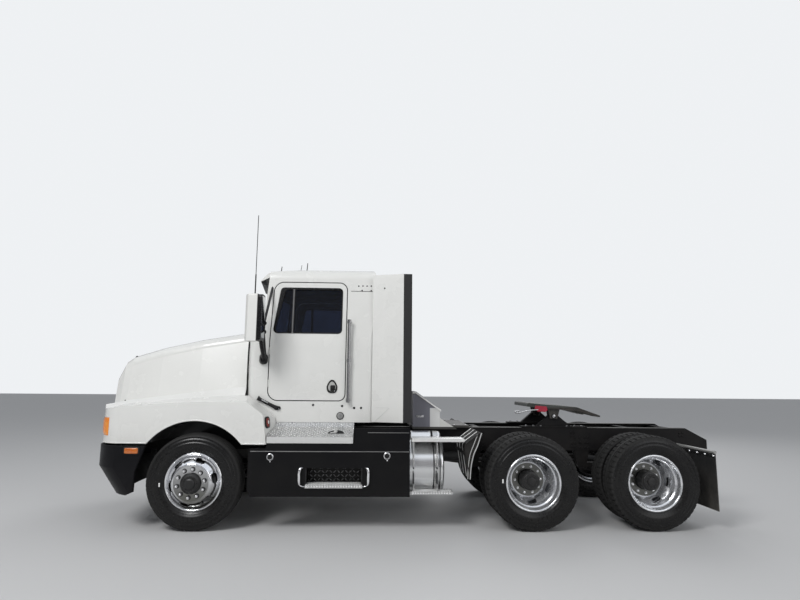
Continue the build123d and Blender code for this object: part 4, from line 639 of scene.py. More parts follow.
def placed(shapes, x, plane_y, outward):
    """Wheel shapes moved to their axle; the distance outward from the wheel's plane becomes y."""
    return [(points * (1.0, outward, 1.0) + (x, plane_y, hub_z), quads, caps) for points, quads, caps in shapes]


def on_circle(x, y, radius, count, turn):
    """Even places on a circle about an axle."""
    angle = turn + np.arange(count) * 2 * math.pi / count
    return laid(np.stack([x + radius * np.cos(angle), hub_z + radius * np.sin(angle)], axis=1), y)


drum_profile = [(0.172, 0.0), (0.205, -0.004), (0.205, -0.160), (0.211, -0.162), (0.211, -0.176), (0.193, -0.176),
                (0.193, -0.012), (0.09, -0.012), (0.09, 0.0)]
steered_hub = [(0.0, 0.259), (0.030, 0.2585), (0.050, 0.254), (0.0575, 0.246), (0.0590, 0.2395), (0.080, 0.2390),
               (0.083, 0.2355), (0.083, 0.229), (0.094, 0.220), (0.105, 0.206), (0.109, 0.198), (0.109, 0.166),
               (0.172, 0.166), (0.172, 0.150), (0.072, 0.150), (0.0, 0.149)]
driven_hub = [(0.0, 0.0315), (0.026, 0.031), (0.040, 0.027), (0.044, 0.014), (0.080, 0.013), (0.0835, 0.010),
              (0.0835, -0.004), (0.098, -0.008), (0.103, -0.03), (0.103, -0.150), (0.109, -0.158), (0.109, -0.192),
              (0.172, -0.192), (0.172, -0.212), (0.09, -0.212), (0.0, -0.213)]
# Each row says: node, axle, turn in degrees, plane, hub's line, drum's place, nuts' place, and the hub cap's bolts as
# place, circle and count.
wheel_rows = [("wheel_front", front_axle_x, 12, single_plane, steered_hub, 0.149, 0.190, (0.2385, 0.0705, 8))]
for name, axle_x, degrees in (("wheels_mid", mid_axle_x, 38), ("wheels_rear", rear_axle_x, 56)):
    wheel_rows.append((name, axle_x, degrees, outer_plane, driven_hub, -0.211, -0.168, (0.0125, 0.064, 10)))
for side_name, out in (("left", -1), ("right", 1)):
    axis = (0, out, 0)
    for name, axle_x, degrees, plane, hub_line, drum_at, nuts_at, (cap_at, cap_circle, cap_count) in wheel_rows:
        node, turn, steered = f"{name}_{side_name}", math.radians(degrees), plane == single_plane
        plane_y = out * plane
        rim = wheel_ring(rim_profile, closed=True)
        metal = placed([rim] + disc_cells(turn) + disc_rings(turn, True), axle_x, plane_y, out if steered else -out)
        if not steered:
            metal += placed([rim] + disc_rings(turn, False), axle_x, out * inner_plane, out)
        studs = on_circle(axle_x, plane_y + out * nuts_at, bolt_circle, 10, turn)
        # Each nut stands on a near-black washer, the painted shade round the nut.
        shaded_washers = [heads(studs, axis, [(0.0245, 0.0), (0.0250, 0.003), (0.0225, 0.005)], 16)]
        nuts = [heads(studs, axis, [(0.0185, 0.004), (0.0185, 0.022), (0.0150, 0.027)], 6),
                heads(studs, axis, [(0.010, 0.02), (0.010, 0.038), (0.006, 0.041)], 10)]
        centre = (axle_x, plane_y, hub_z)
        cap_bolts = on_circle(axle_x, plane_y + out * cap_at, cap_circle, cap_count, turn)
        hub = [turned(hub_line, centre, axis),
               heads(cap_bolts, axis, [(0.0085, 0.0), (0.0085, 0.009), (0.0065, 0.011)]),
               turned([(r, a + drum_at) for r, a in drum_profile], centre, axis, loop=True)]
        make_piece(f"{node}_metal", metal, wheel_aluminium if steered else dual_aluminium, node, [node], crease=45)
        make_piece(f"{node}_nuts", nuts, nut_steel, node, crease=30)
        make_piece(f"{node}_washers", shaded_washers, washer_painted_shade, node, crease=30)
        make_piece(f"{node}_hub", hub, hub_iron, node, crease=35)


# Hood
# One moulded shell with both fenders, hinged at the nose. It is sprayed white outside, and the liners of its wheel
# arches are bare black plastic. A rolled lip stiffens its lower edge, and a rubber latch holds each rear corner.
def outboard(material, reach, soft=0.001):
    """One further from the centre line than the reach, on both sides, and zero nearer to it."""
    tree = material.node_tree
    place = new_node(tree, "SeparateXYZ", {"Vector": object_place(tree)})
    return ranged(tree, number(tree, "ABSOLUTE", place.outputs["Y"]), reach - soft, reach + soft)


def between(material, letter, low, high, soft=0.001):
    """One between two places along x, y or z, and zero outside them."""
    return product(material, fades(material, letter, low - soft, low + soft, 0.0, 1.0),
                   fades(material, letter, high - soft, high + soft, 1.0, 0.0))


def seated(node, place, direction):
    """Point and outward normal where a line through a place, along a direction, first meets a CAD node."""
    heading = Vector(direction).normalized()
    _, point, normal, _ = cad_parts[node].ray_cast(Vector(place) - 3.0 * heading, heading)
    return np.array(point), np.array(normal)


def raised(centre, normal, outline, profile, upward=(0.0, 0.0, 1.0)):
    """Flat outline of (right, up) set on a surface: rings of it, each scaled and lifted along the normal."""
    normal = unit(np.asarray(normal, dtype=float))
    side = unit(np.cross(upward, normal))
    over = np.cross(normal, side)
    outline = np.asarray(outline, dtype=float)
    return grid_shape(np.stack([
        np.asarray(centre) + scale * (outline[:, :1] * side + outline[:, 1:] * over) + lift * normal
        for scale, lift in profile]), round_columns=True, ends=True)


def oval(half_wide, half_high, power=2.0, steps=32, point=0.0):
    """Oval whose half axes are raised to a power; the point draws its upper half in to a tip."""
    angle = round_angles(steps)
    across = np.sign(np.cos(angle)) * np.abs(np.cos(angle)) ** (2 / power) * half_wide
    along = np.sign(np.sin(angle)) * np.abs(np.sin(angle)) ** (2 / power) * half_high
    return np.stack([across * (1 - point * np.clip(along / half_high, 0.0, 1.0)), along], axis=1)


def arc_through(first, middle, last, steps):
    """Points on the circle through three points, from the first to the last past the middle one."""
    a, b, c = (np.asarray(point, dtype=float) for point in (first, middle, last))
    lines = np.array([b - a, c - a])
    centre = a + np.linalg.solve(lines, 0.5 * (lines**2).sum(axis=1))
    radius = np.linalg.norm(a - centre)
    turns = np.unwrap([math.atan2(*(point - centre)[::-1]) for point in (a, b, c)])
    angle = np.linspace(turns[0], turns[2], steps)
    return centre + radius * np.stack([np.cos(angle), np.sin(angle)], axis=1)


def rounded(points, radii, steps=7):
    """Closed outline whose corners are arcs of given radii: each starts at the tangent of half the corner's angle."""
    points = np.asarray(points, dtype=float)
    line = []
    for k, radius in enumerate(radii):
        corner = points[k]
        back, on = unit(points[k - 1] - corner), unit(points[(k + 1) % len(points)] - corner)
        half = 0.5 * math.acos(float(np.clip(back @ on, -1.0, 1.0)))
        middle = corner + unit(back + on) * radius / math.sin(half)
        start, end = corner + back * radius / math.tan(half), corner + on * radius / math.tan(half)
        turns = np.unwrap([math.atan2(*(place - middle)[::-1]) for place in (start, end)])
        angle = np.linspace(turns[0], turns[1], steps)
        line.append(middle + radius * np.stack([np.cos(angle), np.sin(angle)], axis=1))
    return np.concatenate(line)


white, aged_white = (0.79, 0.79, 0.765), (0.735, 0.735, 0.71)
sprayed = {"colour": white, "second": aged_white, "roughness": (0.18, 0.30), "grain": 70.0, "depth": 0.00008,
           "coat": 0.4}
hood_paint = finish("hood_paint", patch=1.3, dust=(0.88, 1.25, 0.22), **sprayed)
arch_x, arch_z, arch_radius = -2.422, 0.480, 0.650
liner_black = (0.006, 0.006, 0.007)
inner_wall, outer_wall, arch_top = 0.560, 1.118, 1.28
inside_arch = near_axis(hood_paint, arch_x, arch_z, arch_radius + 0.0015, 0.001)
zone(hood_paint, product(hood_paint, inside_arch, outboard(hood_paint, inner_wall)), liner_black, 0.7)
liner_back = product(hood_paint, near_axis(hood_paint, arch_x, arch_z, arch_radius + 0.0095, 0.001),
                     outboard(hood_paint, inner_wall), fades(hood_paint, "Z", arch_top, arch_top + 0.001, 1.0, 0.0))
zone(hood_paint, number(hood_paint.node_tree, "SUBTRACT", liner_back,
                        product(hood_paint, liner_back, outboard(hood_paint, outer_wall))), liner_black, 0.7)
dress(hood_paint, "hood")

lip_z = 0.893
arch_start = math.asin((0.888 - arch_z) / arch_radius)
arch_turn = np.linspace(math.pi - arch_start, arch_start, 41)
arch_line = np.stack([arch_x + arch_radius * np.cos(arch_turn), arch_z + arch_radius * np.sin(arch_turn)], axis=1)


def fender_side(x):
    """Distance of the fender's side from the centre line: it widens evenly from its front corner to its tail."""
    return 1.125 + 0.057 * (x + 3.230) / 1.730


corner_plan = arc_through((-3.482, 0.760), (-3.430, 1.000), (-3.230, 1.125), 14)
side_run = np.array([(x, fender_side(x)) for x in (-3.15, -3.05, -2.96)])
front_lip = np.concatenate([
    laid(corner_plan * (1, -1), lip_z, "xyz"), laid(side_run * (1, -1), lip_z, "xyz"),
    laid(arch_line + (0.0, 0.004), -fender_side(arch_line[:, 0])),
    [(x, -fender_side(x), lip_z) for x in (-1.88, -1.80, -1.72, -1.672)],
])
white_paint_and_highlight = finish("white_paint_and_highlight", white, aged_white, patch=5.0, roughness=(0.2, 0.32), coat=0.4)
make_pair("fender_lips", [tube(front_lip, 0.0085, 10)], white_paint_and_highlight, "hood")

black_rubber_and_shade = finish("black_rubber_and_shade", (0.008, 0.008, 0.008), (0.015, 0.015, 0.015), patch=30.0, roughness=(0.5, 0.7),
                      shine=0.3)
bright_steel = finish("bright_steel", (0.62, 0.62, 0.63), (0.45, 0.45, 0.45), patch=25.0, roughness=(0.18, 0.35),
                      metallic=1.0)
small_studs = []
for place, radius in (((-3.315, -0.60, 1.845), 0.013), ((-3.367, -0.90, 1.323), 0.009)):
    point, normal = seated("hood", place, (0.0, 0.6, -0.8) if place[2] > 1.5 else (0.2, 1.0, 0.0))
    small_studs.append(heads([point - 0.002 * normal], normal,
                             [(radius, 0.0), (radius, 0.007), (0.6 * radius, 0.011)], 12))
make_pair("hood_stops", small_studs, black_rubber_and_shade, "hood")

latch_line = curve_through([(-1.800, -0.995, 1.366), (-1.765, -1.001, 1.350), (-1.690, -0.998, 1.312),
                            (-1.620, -0.997, 1.278), (-1.585, -0.992, 1.262)], 5)
latch_wide = widths(latch_line, [0.0, 0.12, 0.3, 0.75, 1.0], [0.012, 0.022, 0.017, 0.019, 0.024])
latch = [tube(latch_line, latch_wide, 10),
         tube([(-1.806, -1.004, 1.345), (-1.795, -1.006, 1.368), (-1.784, -1.004, 1.391)], 0.007, 8),
         raised((-1.583, -0.980, 1.261), leftward, oval(0.034, 0.021, 3.0),
                [(1.0, -0.004), (1.0, 0.012), (0.85, 0.016)])]
make_pair("hood_latches", latch, black_rubber_and_shade, crease=50)
make_pair("latch_bolts", [
    heads([(-1.600, -0.996, 1.268), (-1.565, -0.996, 1.252)], leftward,
          [(0.007, -0.003), (0.007, 0.004), (0.005, 0.006)]),
    tube([(-1.752, -1.020, 1.352), (-1.715, -1.021, 1.334), (-1.682, -1.019, 1.317)], 0.006, 8),
], bright_steel)


# Lamps and grille
# The lamp on the fender's corner has a clear fluted lens in front and an amber one at the side, flush in one bezel.
# A side marker sits on the fender's tail. The grille's slats are dark moulded plastic.
lamp_lens = finish("lamp_lens", (0.50, 0.52, 0.54), (0.66, 0.68, 0.70), patch=18.0, roughness=(0.05, 0.12), coat=1.0)
zone(lamp_lens, outboard(lamp_lens, 0.895), (0.82, 0.17, 0.008), 0.12)
# A brighter yellow band across the middle of the amber side lens is a painted highlight.
zone(lamp_lens, product(lamp_lens, outboard(lamp_lens, 0.96), between(lamp_lens, "Z", 1.03, 1.125, 0.02)),
     (0.90, 0.34, 0.03), 0.10)
zone(lamp_lens, fades(lamp_lens, "Z", 0.978, 0.980, 1.0, 0.0), (0.02, 0.02, 0.02), 0.4)
zone(lamp_lens, fades(lamp_lens, "Z", 1.141, 1.143, 0.0, 1.0), (0.02, 0.02, 0.02), 0.4)
dress(lamp_lens, "lamps")
lens_tree = lamp_lens.node_tree
flutes = new_node(lens_tree, "TexWave", {"Vector": object_place(lens_tree), "Scale": 22.0})
flutes.bands_direction = "Y"
wire(lens_tree, next(node for node in lens_tree.nodes if node.type == "BUMP"),
     {"Distance": 0.003, "Height": flutes.outputs["Color"]})

lens_wide, lens_high = np.linspace(-1.0, 1.0, 17), np.linspace(-1.0, 1.0, 11)
lens_reach = np.linspace(0.905, 1.074, 17)
lens_plan = np.column_stack([np.interp(lens_reach, corner_plan[:, 1], corner_plan[:, 0]), lens_reach])
lens_out = unit(np.column_stack([-np.gradient(lens_plan[:, 1]), np.gradient(lens_plan[:, 0])]))
bulge = 0.0045 + 0.0115 * (1 - lens_wide[:, None] ** 4) * (1 - lens_high[None, :] ** 4)
lens_rows = np.concatenate([bulge, np.full((17, 2), -0.003)], axis=1)
lens_z = np.concatenate([1.060 + 0.094 * lens_high, [1.154, 0.966]])
lens_flat = lens_plan[:, None, :] + lens_rows[:, :, None] * lens_out[:, None, :]
lens_points = np.stack([lens_flat[:, :, 0], -lens_flat[:, :, 1], np.broadcast_to(lens_z, (17, 13))], axis=2)
turn_lens = finish("turn_lens", (0.86, 0.22, 0.012), (0.90, 0.36, 0.04), patch=26.0, roughness=(0.08, 0.16), coat=1.0)
make_pair("turn_lenses", [grid_shape(lens_points, round_columns=True, ends=True)], turn_lens, "hood", crease=50)

amber_lens = finish("amber_lens", (0.50, 0.10, 0.010), (0.62, 0.19, 0.02), patch=40.0, roughness=(0.08, 0.16), coat=1.0)
red_lens = finish("red_lens", (0.16, 0.010, 0.007), (0.24, 0.02, 0.012), patch=40.0, roughness=(0.10, 0.2), coat=0.6)
marker = seated("hood", (-1.664, -1.1, 1.115), rightward)
for name, wide, high, profile, material, crease in (
        ("marker_cases", 0.039, 0.062, [(1.0, -0.004), (1.0, 0.010), (0.80, 0.014)], black_rubber_and_shade, 50),
        ("marker_lenses", 0.026, 0.048, [(1.0, 0.006), (0.95, 0.016), (0.6, 0.021)], red_lens, 60),
        ("marker_middles", 0.009, 0.020, [(1.0, 0.018), (0.8, 0.024)], white_paint_and_highlight, 60)):
    make_pair(name, [raised(*marker, oval(wide, high, 3.0), profile)], material, "hood", crease=crease)

grille_plastic = finish("grille_plastic", (0.03, 0.03, 0.032), (0.05, 0.05, 0.05), patch=6.0, roughness=(0.3, 0.45),
                        dust=(0.9, 1.7, 0.3))
dress(grille_plastic, "grille")


# Bumper
# One rotomoulded shell in black plastic that wraps round to the wheels, its chin leaning back. It is bolted to
# brackets on the rails, with an amber turn lamp let into each end.
bumper_plastic = finish("bumper_plastic", (0.004, 0.004, 0.0055), (0.0075, 0.0075, 0.009), patch=2.0,
                        roughness=(0.34, 0.5), grain=700.0, depth=0.0002, dust=(0.3, 0.75, 0.02), shine=0.15)
dress(bumper_plastic, "bumper")
lamp = seated("bumper", (-3.050, -1.1, 0.820), rightward)
for name, wide, high, profile, material, crease in (
        ("bumper_lamp_cases", 0.084, 0.040, [(1.0, -0.006), (1.0, 0.005), (0.95, 0.008)], black_rubber_and_shade, 50),
        ("bumper_lenses", 0.071, 0.030, [(1.0, 0.005), (0.97, 0.014), (0.8, 0.018)], amber_lens, 60)):
    make_pair(name, [raised(*lamp, oval(wide, high, 7.0, 40), profile)], material, crease=crease)


# Engine and radiator
# The engine and gearbox are iron castings under grey paint; the radiator's aluminium core stands ahead of them.
engine_paint = finish("engine_paint", (0.045, 0.05, 0.055), (0.09, 0.09, 0.09), patch=6.0, roughness=(0.45, 0.7),
                      grain=120.0, depth=0.0008, dust=(0.5, 1.4, 0.35))
dress(engine_paint, "powertrain_block")
radiator_core = finish("radiator_core", (0.10, 0.10, 0.10), (0.17, 0.16, 0.15), patch=9.0, roughness=(0.5, 0.7),
                       metallic=0.6, grain=900.0, depth=0.002)
dress(radiator_core, "radiator")


# Cab
# Welded steel shell on mounts over the rails, primed and sprayed white. Rubber seals its door openings and holds
# its glass; bolts, a round filler lid and three short aerials stand on its skin.
cab_paint = finish("cab_paint", patch=1.1, dust=(1.05, 1.45, 0.16), **sprayed)
dress(cab_paint, "cab_shell")


def cab_side(z):
    """Cab's half width at a height: upright to the belt, then leaning in to the roof, with an arc between."""
    belt, lean_start, lean = 1.9615, 2.0385, 0.0855
    z = np.asarray(z, dtype=float)
    return 0.98 - np.clip(z - belt, 0.0, lean_start - belt)**2 / 1.8 - lean * np.clip(z - lean_start, 0.0, None)


def on_side(outline, depth):
    """Side outline of (x, z) laid on the driver's side skin of the cab, sunk by a depth."""
    return laid(outline, depth - cab_side(np.asarray(outline, dtype=float)[:, 1]))


def denser(outline, reach=0.12):
    """Closed outline with points added on its long runs."""
    line = []
    for start, end in zip(outline, np.roll(outline, -1, axis=0)):
        count = max(1, int(np.linalg.norm(end - start) / reach))
        line.append(start + (end - start) * np.linspace(0.0, 1.0, count, endpoint=False)[:, None])
    return np.concatenate(line)


def door_edge(grow):
    """Outline of the door grown by a gap, its corners rounded."""
    points = [(-1.694 - grow, 1.348 - grow), (-0.848 + grow, 1.348 - grow), (-0.848 + grow, 2.678 + grow),
              (-1.668 - grow, 2.678 + grow), (-1.694 - grow, 2.0)]
    return denser(rounded(points, [0.105 + grow, 0.070 + grow, 0.085 + grow, 0.105 + grow, 0.400]))


make_pair("door_seals", [tube(on_side(door_edge(0.0055), 0.020), 0.0042, 6, closed=True)], black_rubber_and_shade, crease=60)
cowl_seal = curve_through(
    [(-1.934, -0.820, 2.118), (-1.935, -0.885, 2.075), (-1.935, -0.925, 1.98), (-1.934, -0.946, 1.85),
     (-1.933, -0.951, 1.65), (-1.931, -0.953, 1.45), (-1.930, -0.954, 1.375)], 5)
make_pair("cowl_seals", [tube(cowl_seal, 0.0095, 8)], black_rubber_and_shade, crease=60)


def screen_x(y, z):
    """Place of the windscreen along the truck: it sweeps back to the sides and rakes back upward."""
    return -1.92 + 0.135 * np.abs(y) + 0.095 * (z - 2.130)


screen_rubber = []
for hand in (-1, 1):
    pane = denser(rounded([(hand * y, z) for y, z in ((0.030, 2.185), (0.830, 2.185), (0.810, 2.655), (0.030, 2.655))],
                          [0.035] * 4))
    screen_rubber.append(tube(laid(pane, screen_x(*pane.T) + 0.004, "yzx"), 0.0095, 8, closed=True))
rear_pane = denser(rounded([(-0.480, 2.060), (0.480, 2.060), (0.480, 2.520), (-0.480, 2.520)], [0.045] * 4))
screen_rubber.append(tube(laid(rear_pane, -0.518, "yzx"), 0.0095, 8, closed=True))
make_piece("screen_rubbers", screen_rubber, black_rubber_and_shade, crease=60)

window_glass, glass_tree, glass_shader = bare_material("window_glass")
wire(glass_tree, glass_shader, {
    "Roughness": 0.02, "IOR": 1.5, "Transmission Weight": 1.0,
    "Base Color": ramp(glass_tree, noise(glass_tree, 5.0, 2.0), (0.0, (0.12, 0.155, 0.24)), (1.0, (0.19, 0.24, 0.36)))})
dress(window_glass, "cab_glass", "door_glass_left", "door_glass_right")

cab_bolts = np.array([(-1.193, 1.297), (-0.872, 1.288), (-0.739, 1.267), (-0.662, 1.268)])
rivets = np.array([(-0.714, 2.650), (-0.666, 2.651), (-0.618, 2.651), (-0.569, 2.652), (-0.675, 2.598),
                   (-0.569, 2.598)])
# The roof rivets are laid in near-black, as painted shade over their stainless heads.
for name, places, axis, profile, sides in (
        ("cab_bolts", cab_bolts, leftward, [(0.013, 0.0), (0.013, 0.003), (0.009, 0.007)], 12),
        ("roof_rivets", rivets, (0, -1, 0.09), [(0.009, 0.0), (0.008, 0.003), (0.004, 0.0055)], 10)):
    make_pair(name, [heads(on_side(places, 0.001), axis, profile, sides)], black_rubber_and_shade)
seam = on_side(crossed(np.linspace(-0.800, -0.552, 9), [2.588]), -0.0005)
make_pair("roof_seam", [tube(seam, 0.0030, 6)], black_rubber_and_shade)
filler_place = (-0.891, -0.980, 1.180)
filler = [raised(filler_place, leftward, oval(0.035, 0.035),
                 [(1.0, -0.003), (1.0, 0.005), (0.86, 0.009), (0.5, 0.010)]),
          raised((-0.891, -0.990, 1.180), leftward, oval(0.006, 0.020, 4.0), [(1.0, -0.003), (1.0, 0.008)])]
lid_grey = finish("lid_grey", (0.24, 0.24, 0.235), (0.34, 0.34, 0.33), patch=60.0, roughness=(0.3, 0.5))
make_piece("filler_lid", filler, lid_grey, crease=50)
lid_ring = [(0.034, -0.002), (0.034, 0.007), (0.039, 0.008), (0.042, 0.004), (0.042, -0.002)]
make_piece("filler_ring", [turned(lid_ring, filler_place, leftward, 32, loop=True)], black_rubber_and_shade, crease=50)

stubs = []
for x, y, high in ((-1.667, -0.62, 0.108), (-1.385, -0.42, 0.168)):
    point, _ = seated("cab_shell", (x, y, 2.5), downward)
    stubs += [tube([point + (0, 0, -0.004), point + (0, 0, 0.012)], 0.014, 12),
              tube([point + (0, 0, 0.010), point + (0.012, 0, high)], (0.0065, 0.0045), 8)]
point, _ = seated("cab_shell", (-1.505, -0.55, 2.5), downward)
knob = [(0.0, 0.040), (0.008, 0.038), (0.012, 0.031), (0.012, 0.012), (0.019, 0.009), (0.019, -0.006), (0.0, -0.007)]
stubs.append(turned(knob, point, (0, 0, 1), 16))
make_piece("roof_aerials", stubs, black_rubber_and_shade, crease=50)


# Doors
# Each door is a pressed skin on two outside hinges, with a vent pane divided off by a bar ahead of the glass,
# rubber round the window, and a paddle handle in a black pointed housing.
door_paint = finish("door_paint", patch=1.1, dust=(1.3, 1.6, 0.10), **sprayed)
bar_x, bar_height = -1.452, between(door_paint, "Z", 2.096, 2.598)
for half, colour in ((0.0145, (0.012, 0.012, 0.013)), (0.0045, (0.16, 0.16, 0.165))):
    bar_share = product(door_paint, between(door_paint, "X", bar_x - half, bar_x + half), bar_height)
    zone(door_paint, bar_share, colour, 0.35)
dress(door_paint, "door_left", "door_right")
window_line = denser(rounded([(-1.658, 2.094), (-0.898, 2.094), (-0.898, 2.600), (-1.550, 2.600)], [0.045] * 4))
run_up = (window_line[:, 1] - 2.094) / 0.506
run_back = (window_line[:, 0] + 1.658 - 0.108 * run_up) / (0.760 - 0.108 * run_up)
trim_front = -1.673 + 0.074 * run_up
trim_line = np.stack([trim_front + run_back * (-0.892 - trim_front), 2.089 + 0.532 * run_up], axis=1)
window_trim = grid_shape(np.stack([on_side(line, depth) for line, depth in (
    (trim_line, 0.002), (trim_line, -0.0035), (window_line, -0.0035), (window_line, 0.008))]), round_columns=True)
handle_case = [
    raised((-0.9885, -0.980, 1.501), leftward, oval(0.060, 0.074, 2.7, 40, 0.45),
           [(1.0, -0.004), (1.0, 0.006), (0.93, 0.011), (0.74, 0.010), (0.70, 0.004)]),
    raised((-0.980, -0.986, 1.483), leftward, round_box((-0.026, 0.026), (-0.032, 0.032), 0.010, 4),
           [(1.0, -0.002), (1.0, 0.010), (0.85, 0.014)]),
]
handle_plate = [raised((-0.9885, -0.9845, 1.503), leftward, oval(0.043, 0.054, 2.7, 40, 0.45),
                       [(1.0, -0.002), (1.0, 0.003)])]
handle_lock = [heads([(-0.958, -0.996, 1.452)], leftward, [(0.008, -0.008), (0.008, 0.003), (0.006, 0.005)], 14)]
trim_black = finish("trim_black", (0.005, 0.005, 0.006), (0.009, 0.009, 0.010), patch=20.0, roughness=(0.2, 0.35),
                    shine=0.3)
grey_plate = finish("grey_plate", (0.42, 0.42, 0.41), (0.52, 0.52, 0.50), patch=40.0, roughness=(0.3, 0.45))
window_rubber = [tube(on_side(window_line, 0.009), 0.0085, 8, closed=True)]
for side_name, mirrored in (("left", False), ("right", True)):
    for name, shapes, material, crease in (
            ("window_rubber", window_rubber, black_rubber_and_shade, 60), ("window_trim", [window_trim], trim_black, 40),
            ("door_handle", handle_case, black_rubber_and_shade, 50), ("handle_plate", handle_plate, grey_plate, 50),
            ("door_lock", handle_lock, bright_steel, 40)):
        shapes = both_sides(shapes)[len(shapes):] if mirrored else shapes
        make_piece(f"{name}_{side_name}", shapes, material, f"door_{side_name}", crease=crease)


# Sun visor
# A folded white sheet bolted over the windscreen; its faces that look downward are painted near-black as painted shade.
visor_paint = finish("visor_paint", white, aged_white, patch=3.0, roughness=(0.2, 0.32), coat=0.4)
visor_tree = visor_paint.node_tree
facing = new_node(visor_tree, "SeparateXYZ",
                  {"Vector": visor_tree.nodes.new("ShaderNodeNewGeometry").outputs["Normal"]})
# Faces that look downward are painted near-black: painted shade under the visor.
zone(visor_paint, ranged(visor_tree, facing.outputs["Z"], -0.35, -0.25, 1.0, 0.0), (0.012, 0.012, 0.013), 0.5)
dress(visor_paint, "sun_visor")


# Mirrors
# A white moulded head on a black bent tube that is clamped at the eave and at the door's foot, with its glass to
# the rear. The whip aerial is screwed to the head.
mirror_paint = finish("mirror_paint", (0.012, 0.012, 0.013), (0.02, 0.02, 0.02), patch=9.0, roughness=(0.35, 0.5))
head_zone = product(mirror_paint, outboard(mirror_paint, 1.222), between(mirror_paint, "Z", 1.971, 2.4745))
zone(mirror_paint, product(mirror_paint, head_zone, fades(mirror_paint, "X", -1.762, -1.761, 1.0, 0.0)), white, 0.25)
dress(mirror_paint, "mirrors")
mirror_glass = finish("mirror_glass", (0.80, 0.82, 0.84), (0.76, 0.78, 0.80), patch=3.0, roughness=(0.01, 0.03),
                      metallic=1.0, depth=0.0)
pane_profile = [(1.0, -0.003), (1.0, 0.003)]
glass_panes = [raised((-1.7135, -1.325, z), (1, 0, 0), round_box((-0.082, 0.082), (-half, half), 0.020), pane_profile)
               for z, half in ((2.305, 0.145), (2.070, 0.062))]
make_pair("mirror_panes", glass_panes, mirror_glass)
rim_outline = round_box((-1.416, -1.234), (1.980, 2.4695), 0.034, 6)
mirror_rims = [prism(rim_outline, -1.764, -1.7135, "yzx")]
lower_arm = curve_through([(-1.752, -1.205, 2.000), (-1.750, -1.175, 1.945), (-1.746, -1.105, 1.865),
                           (-1.746, -1.030, 1.808)], 4)
arm_wide = widths(lower_arm, [0.0, 0.2, 0.7, 1.0], [0.014, 0.022, 0.022, 0.030])
mirror_rims += [tube(lower_arm, arm_wide),
                raised((-1.756, -0.980, 1.798), leftward, oval(0.048, 0.060, 2.6),
                       [(1.0, -0.004), (1.0, 0.020), (0.82, 0.040), (0.55, 0.062)])]
make_pair("mirror_rims", mirror_rims, trim_black)
clamp_line = [(0.0, 0.030), (0.020, 0.028), (0.026, 0.018), (0.026, -0.018), (0.020, -0.028), (0.0, -0.030)]
mirror_clamps = [turned(clamp_line, (-1.728, -1.190, z), leftward, 20) for z in (2.180, 2.085)]
make_pair("mirror_clamps", mirror_clamps, black_rubber_and_shade, crease=45)


# Side extenders
# Moulded panels bolted to the cab's rear corners, each with a stiff rubber strip along its rear edge and a gusset
# moulded into its foot.
extender_paint = finish("extender_paint", (0.775, 0.775, 0.75), (0.72, 0.72, 0.695), patch=1.6, roughness=(0.22, 0.36),
                        grain=80.0, depth=0.0001, coat=0.3, dust=(1.1, 1.5, 0.16))
zone(extender_paint, fades(extender_paint, "X", -0.2005, -0.1995, 0.0, 1.0), (0.010, 0.010, 0.010), 0.55)
dress(extender_paint, "side_extenders")
seam_foot = zip(np.linspace(-0.500, -0.351, 8), np.linspace(1.128, 1.270, 8))
seam_back = [(x, 1.272) for x in np.linspace(-0.362, -0.500, 6)]
extender_seams = [tube([seated("side_extenders", (x, -1.0, z), rightward)[0] for x, z in line], radius, 6)
                  for line, radius in ((seam_foot, 0.0028), (seam_back, 0.0022))]
seam_paint = finish("seam_paint", (0.60, 0.60, 0.58), (0.66, 0.66, 0.64), patch=20.0, roughness=(0.3, 0.4))
make_pair("extender_seams", extender_seams, seam_paint)
point, normal = seated("side_extenders", (-0.415, -1.0, 2.612), rightward)
top_bolt = heads([point - 0.001 * normal], normal, [(0.009, 0.0), (0.009, 0.003), (0.005, 0.006)], 10)
make_pair("extender_bolts", [top_bolt], black_rubber_and_shade)


# Grab handles
# A long polished tube on three feet behind each door, its top level with the window's foot.
grab_steel = finish("grab_steel", (0.46, 0.46, 0.47), (0.34, 0.34, 0.34), patch=18.0, roughness=(0.14, 0.26),
                    metallic=1.0)
grab_x, grab_y = -0.808, -1.024
grab_bars = [tube([(grab_x, grab_y, z) for z in np.linspace(1.336, 2.240, 12)], 0.0180, 16)]
for z in (1.350, 1.790, 2.226):
    skin = -float(cab_side(z))
    grab_bars += [tube([(grab_x, skin + 0.002, z), (grab_x, -1.010, z), (grab_x, -1.022, z)], 0.0125, 14),
                  heads([(grab_x, skin, z)], leftward, [(0.026, -0.003), (0.026, 0.006), (0.016, 0.011)], 16),
                  tube([(grab_x, grab_y, z - 0.022), (grab_x, grab_y, z + 0.022)], 0.0215, 16)]
make_pair("grab_bars", grab_bars, grab_steel, hides=["grab_handles"])


# Side skirts
# Long rotomoulded panels in black plastic that hide the tanks and boxes under the cab. Each hangs on brackets from
# the rail, is held shut by two round turn latches, and has a recess for the side step.
skirt_plastic = finish("skirt_plastic", (0.0045, 0.0045, 0.0055), (0.008, 0.008, 0.008), patch=2.2,
                       roughness=(0.34, 0.5), grain=700.0, depth=0.0002, dust=(0.3, 0.8, 0.02), shine=0.15)
dress(skirt_plastic, "side_skirts")
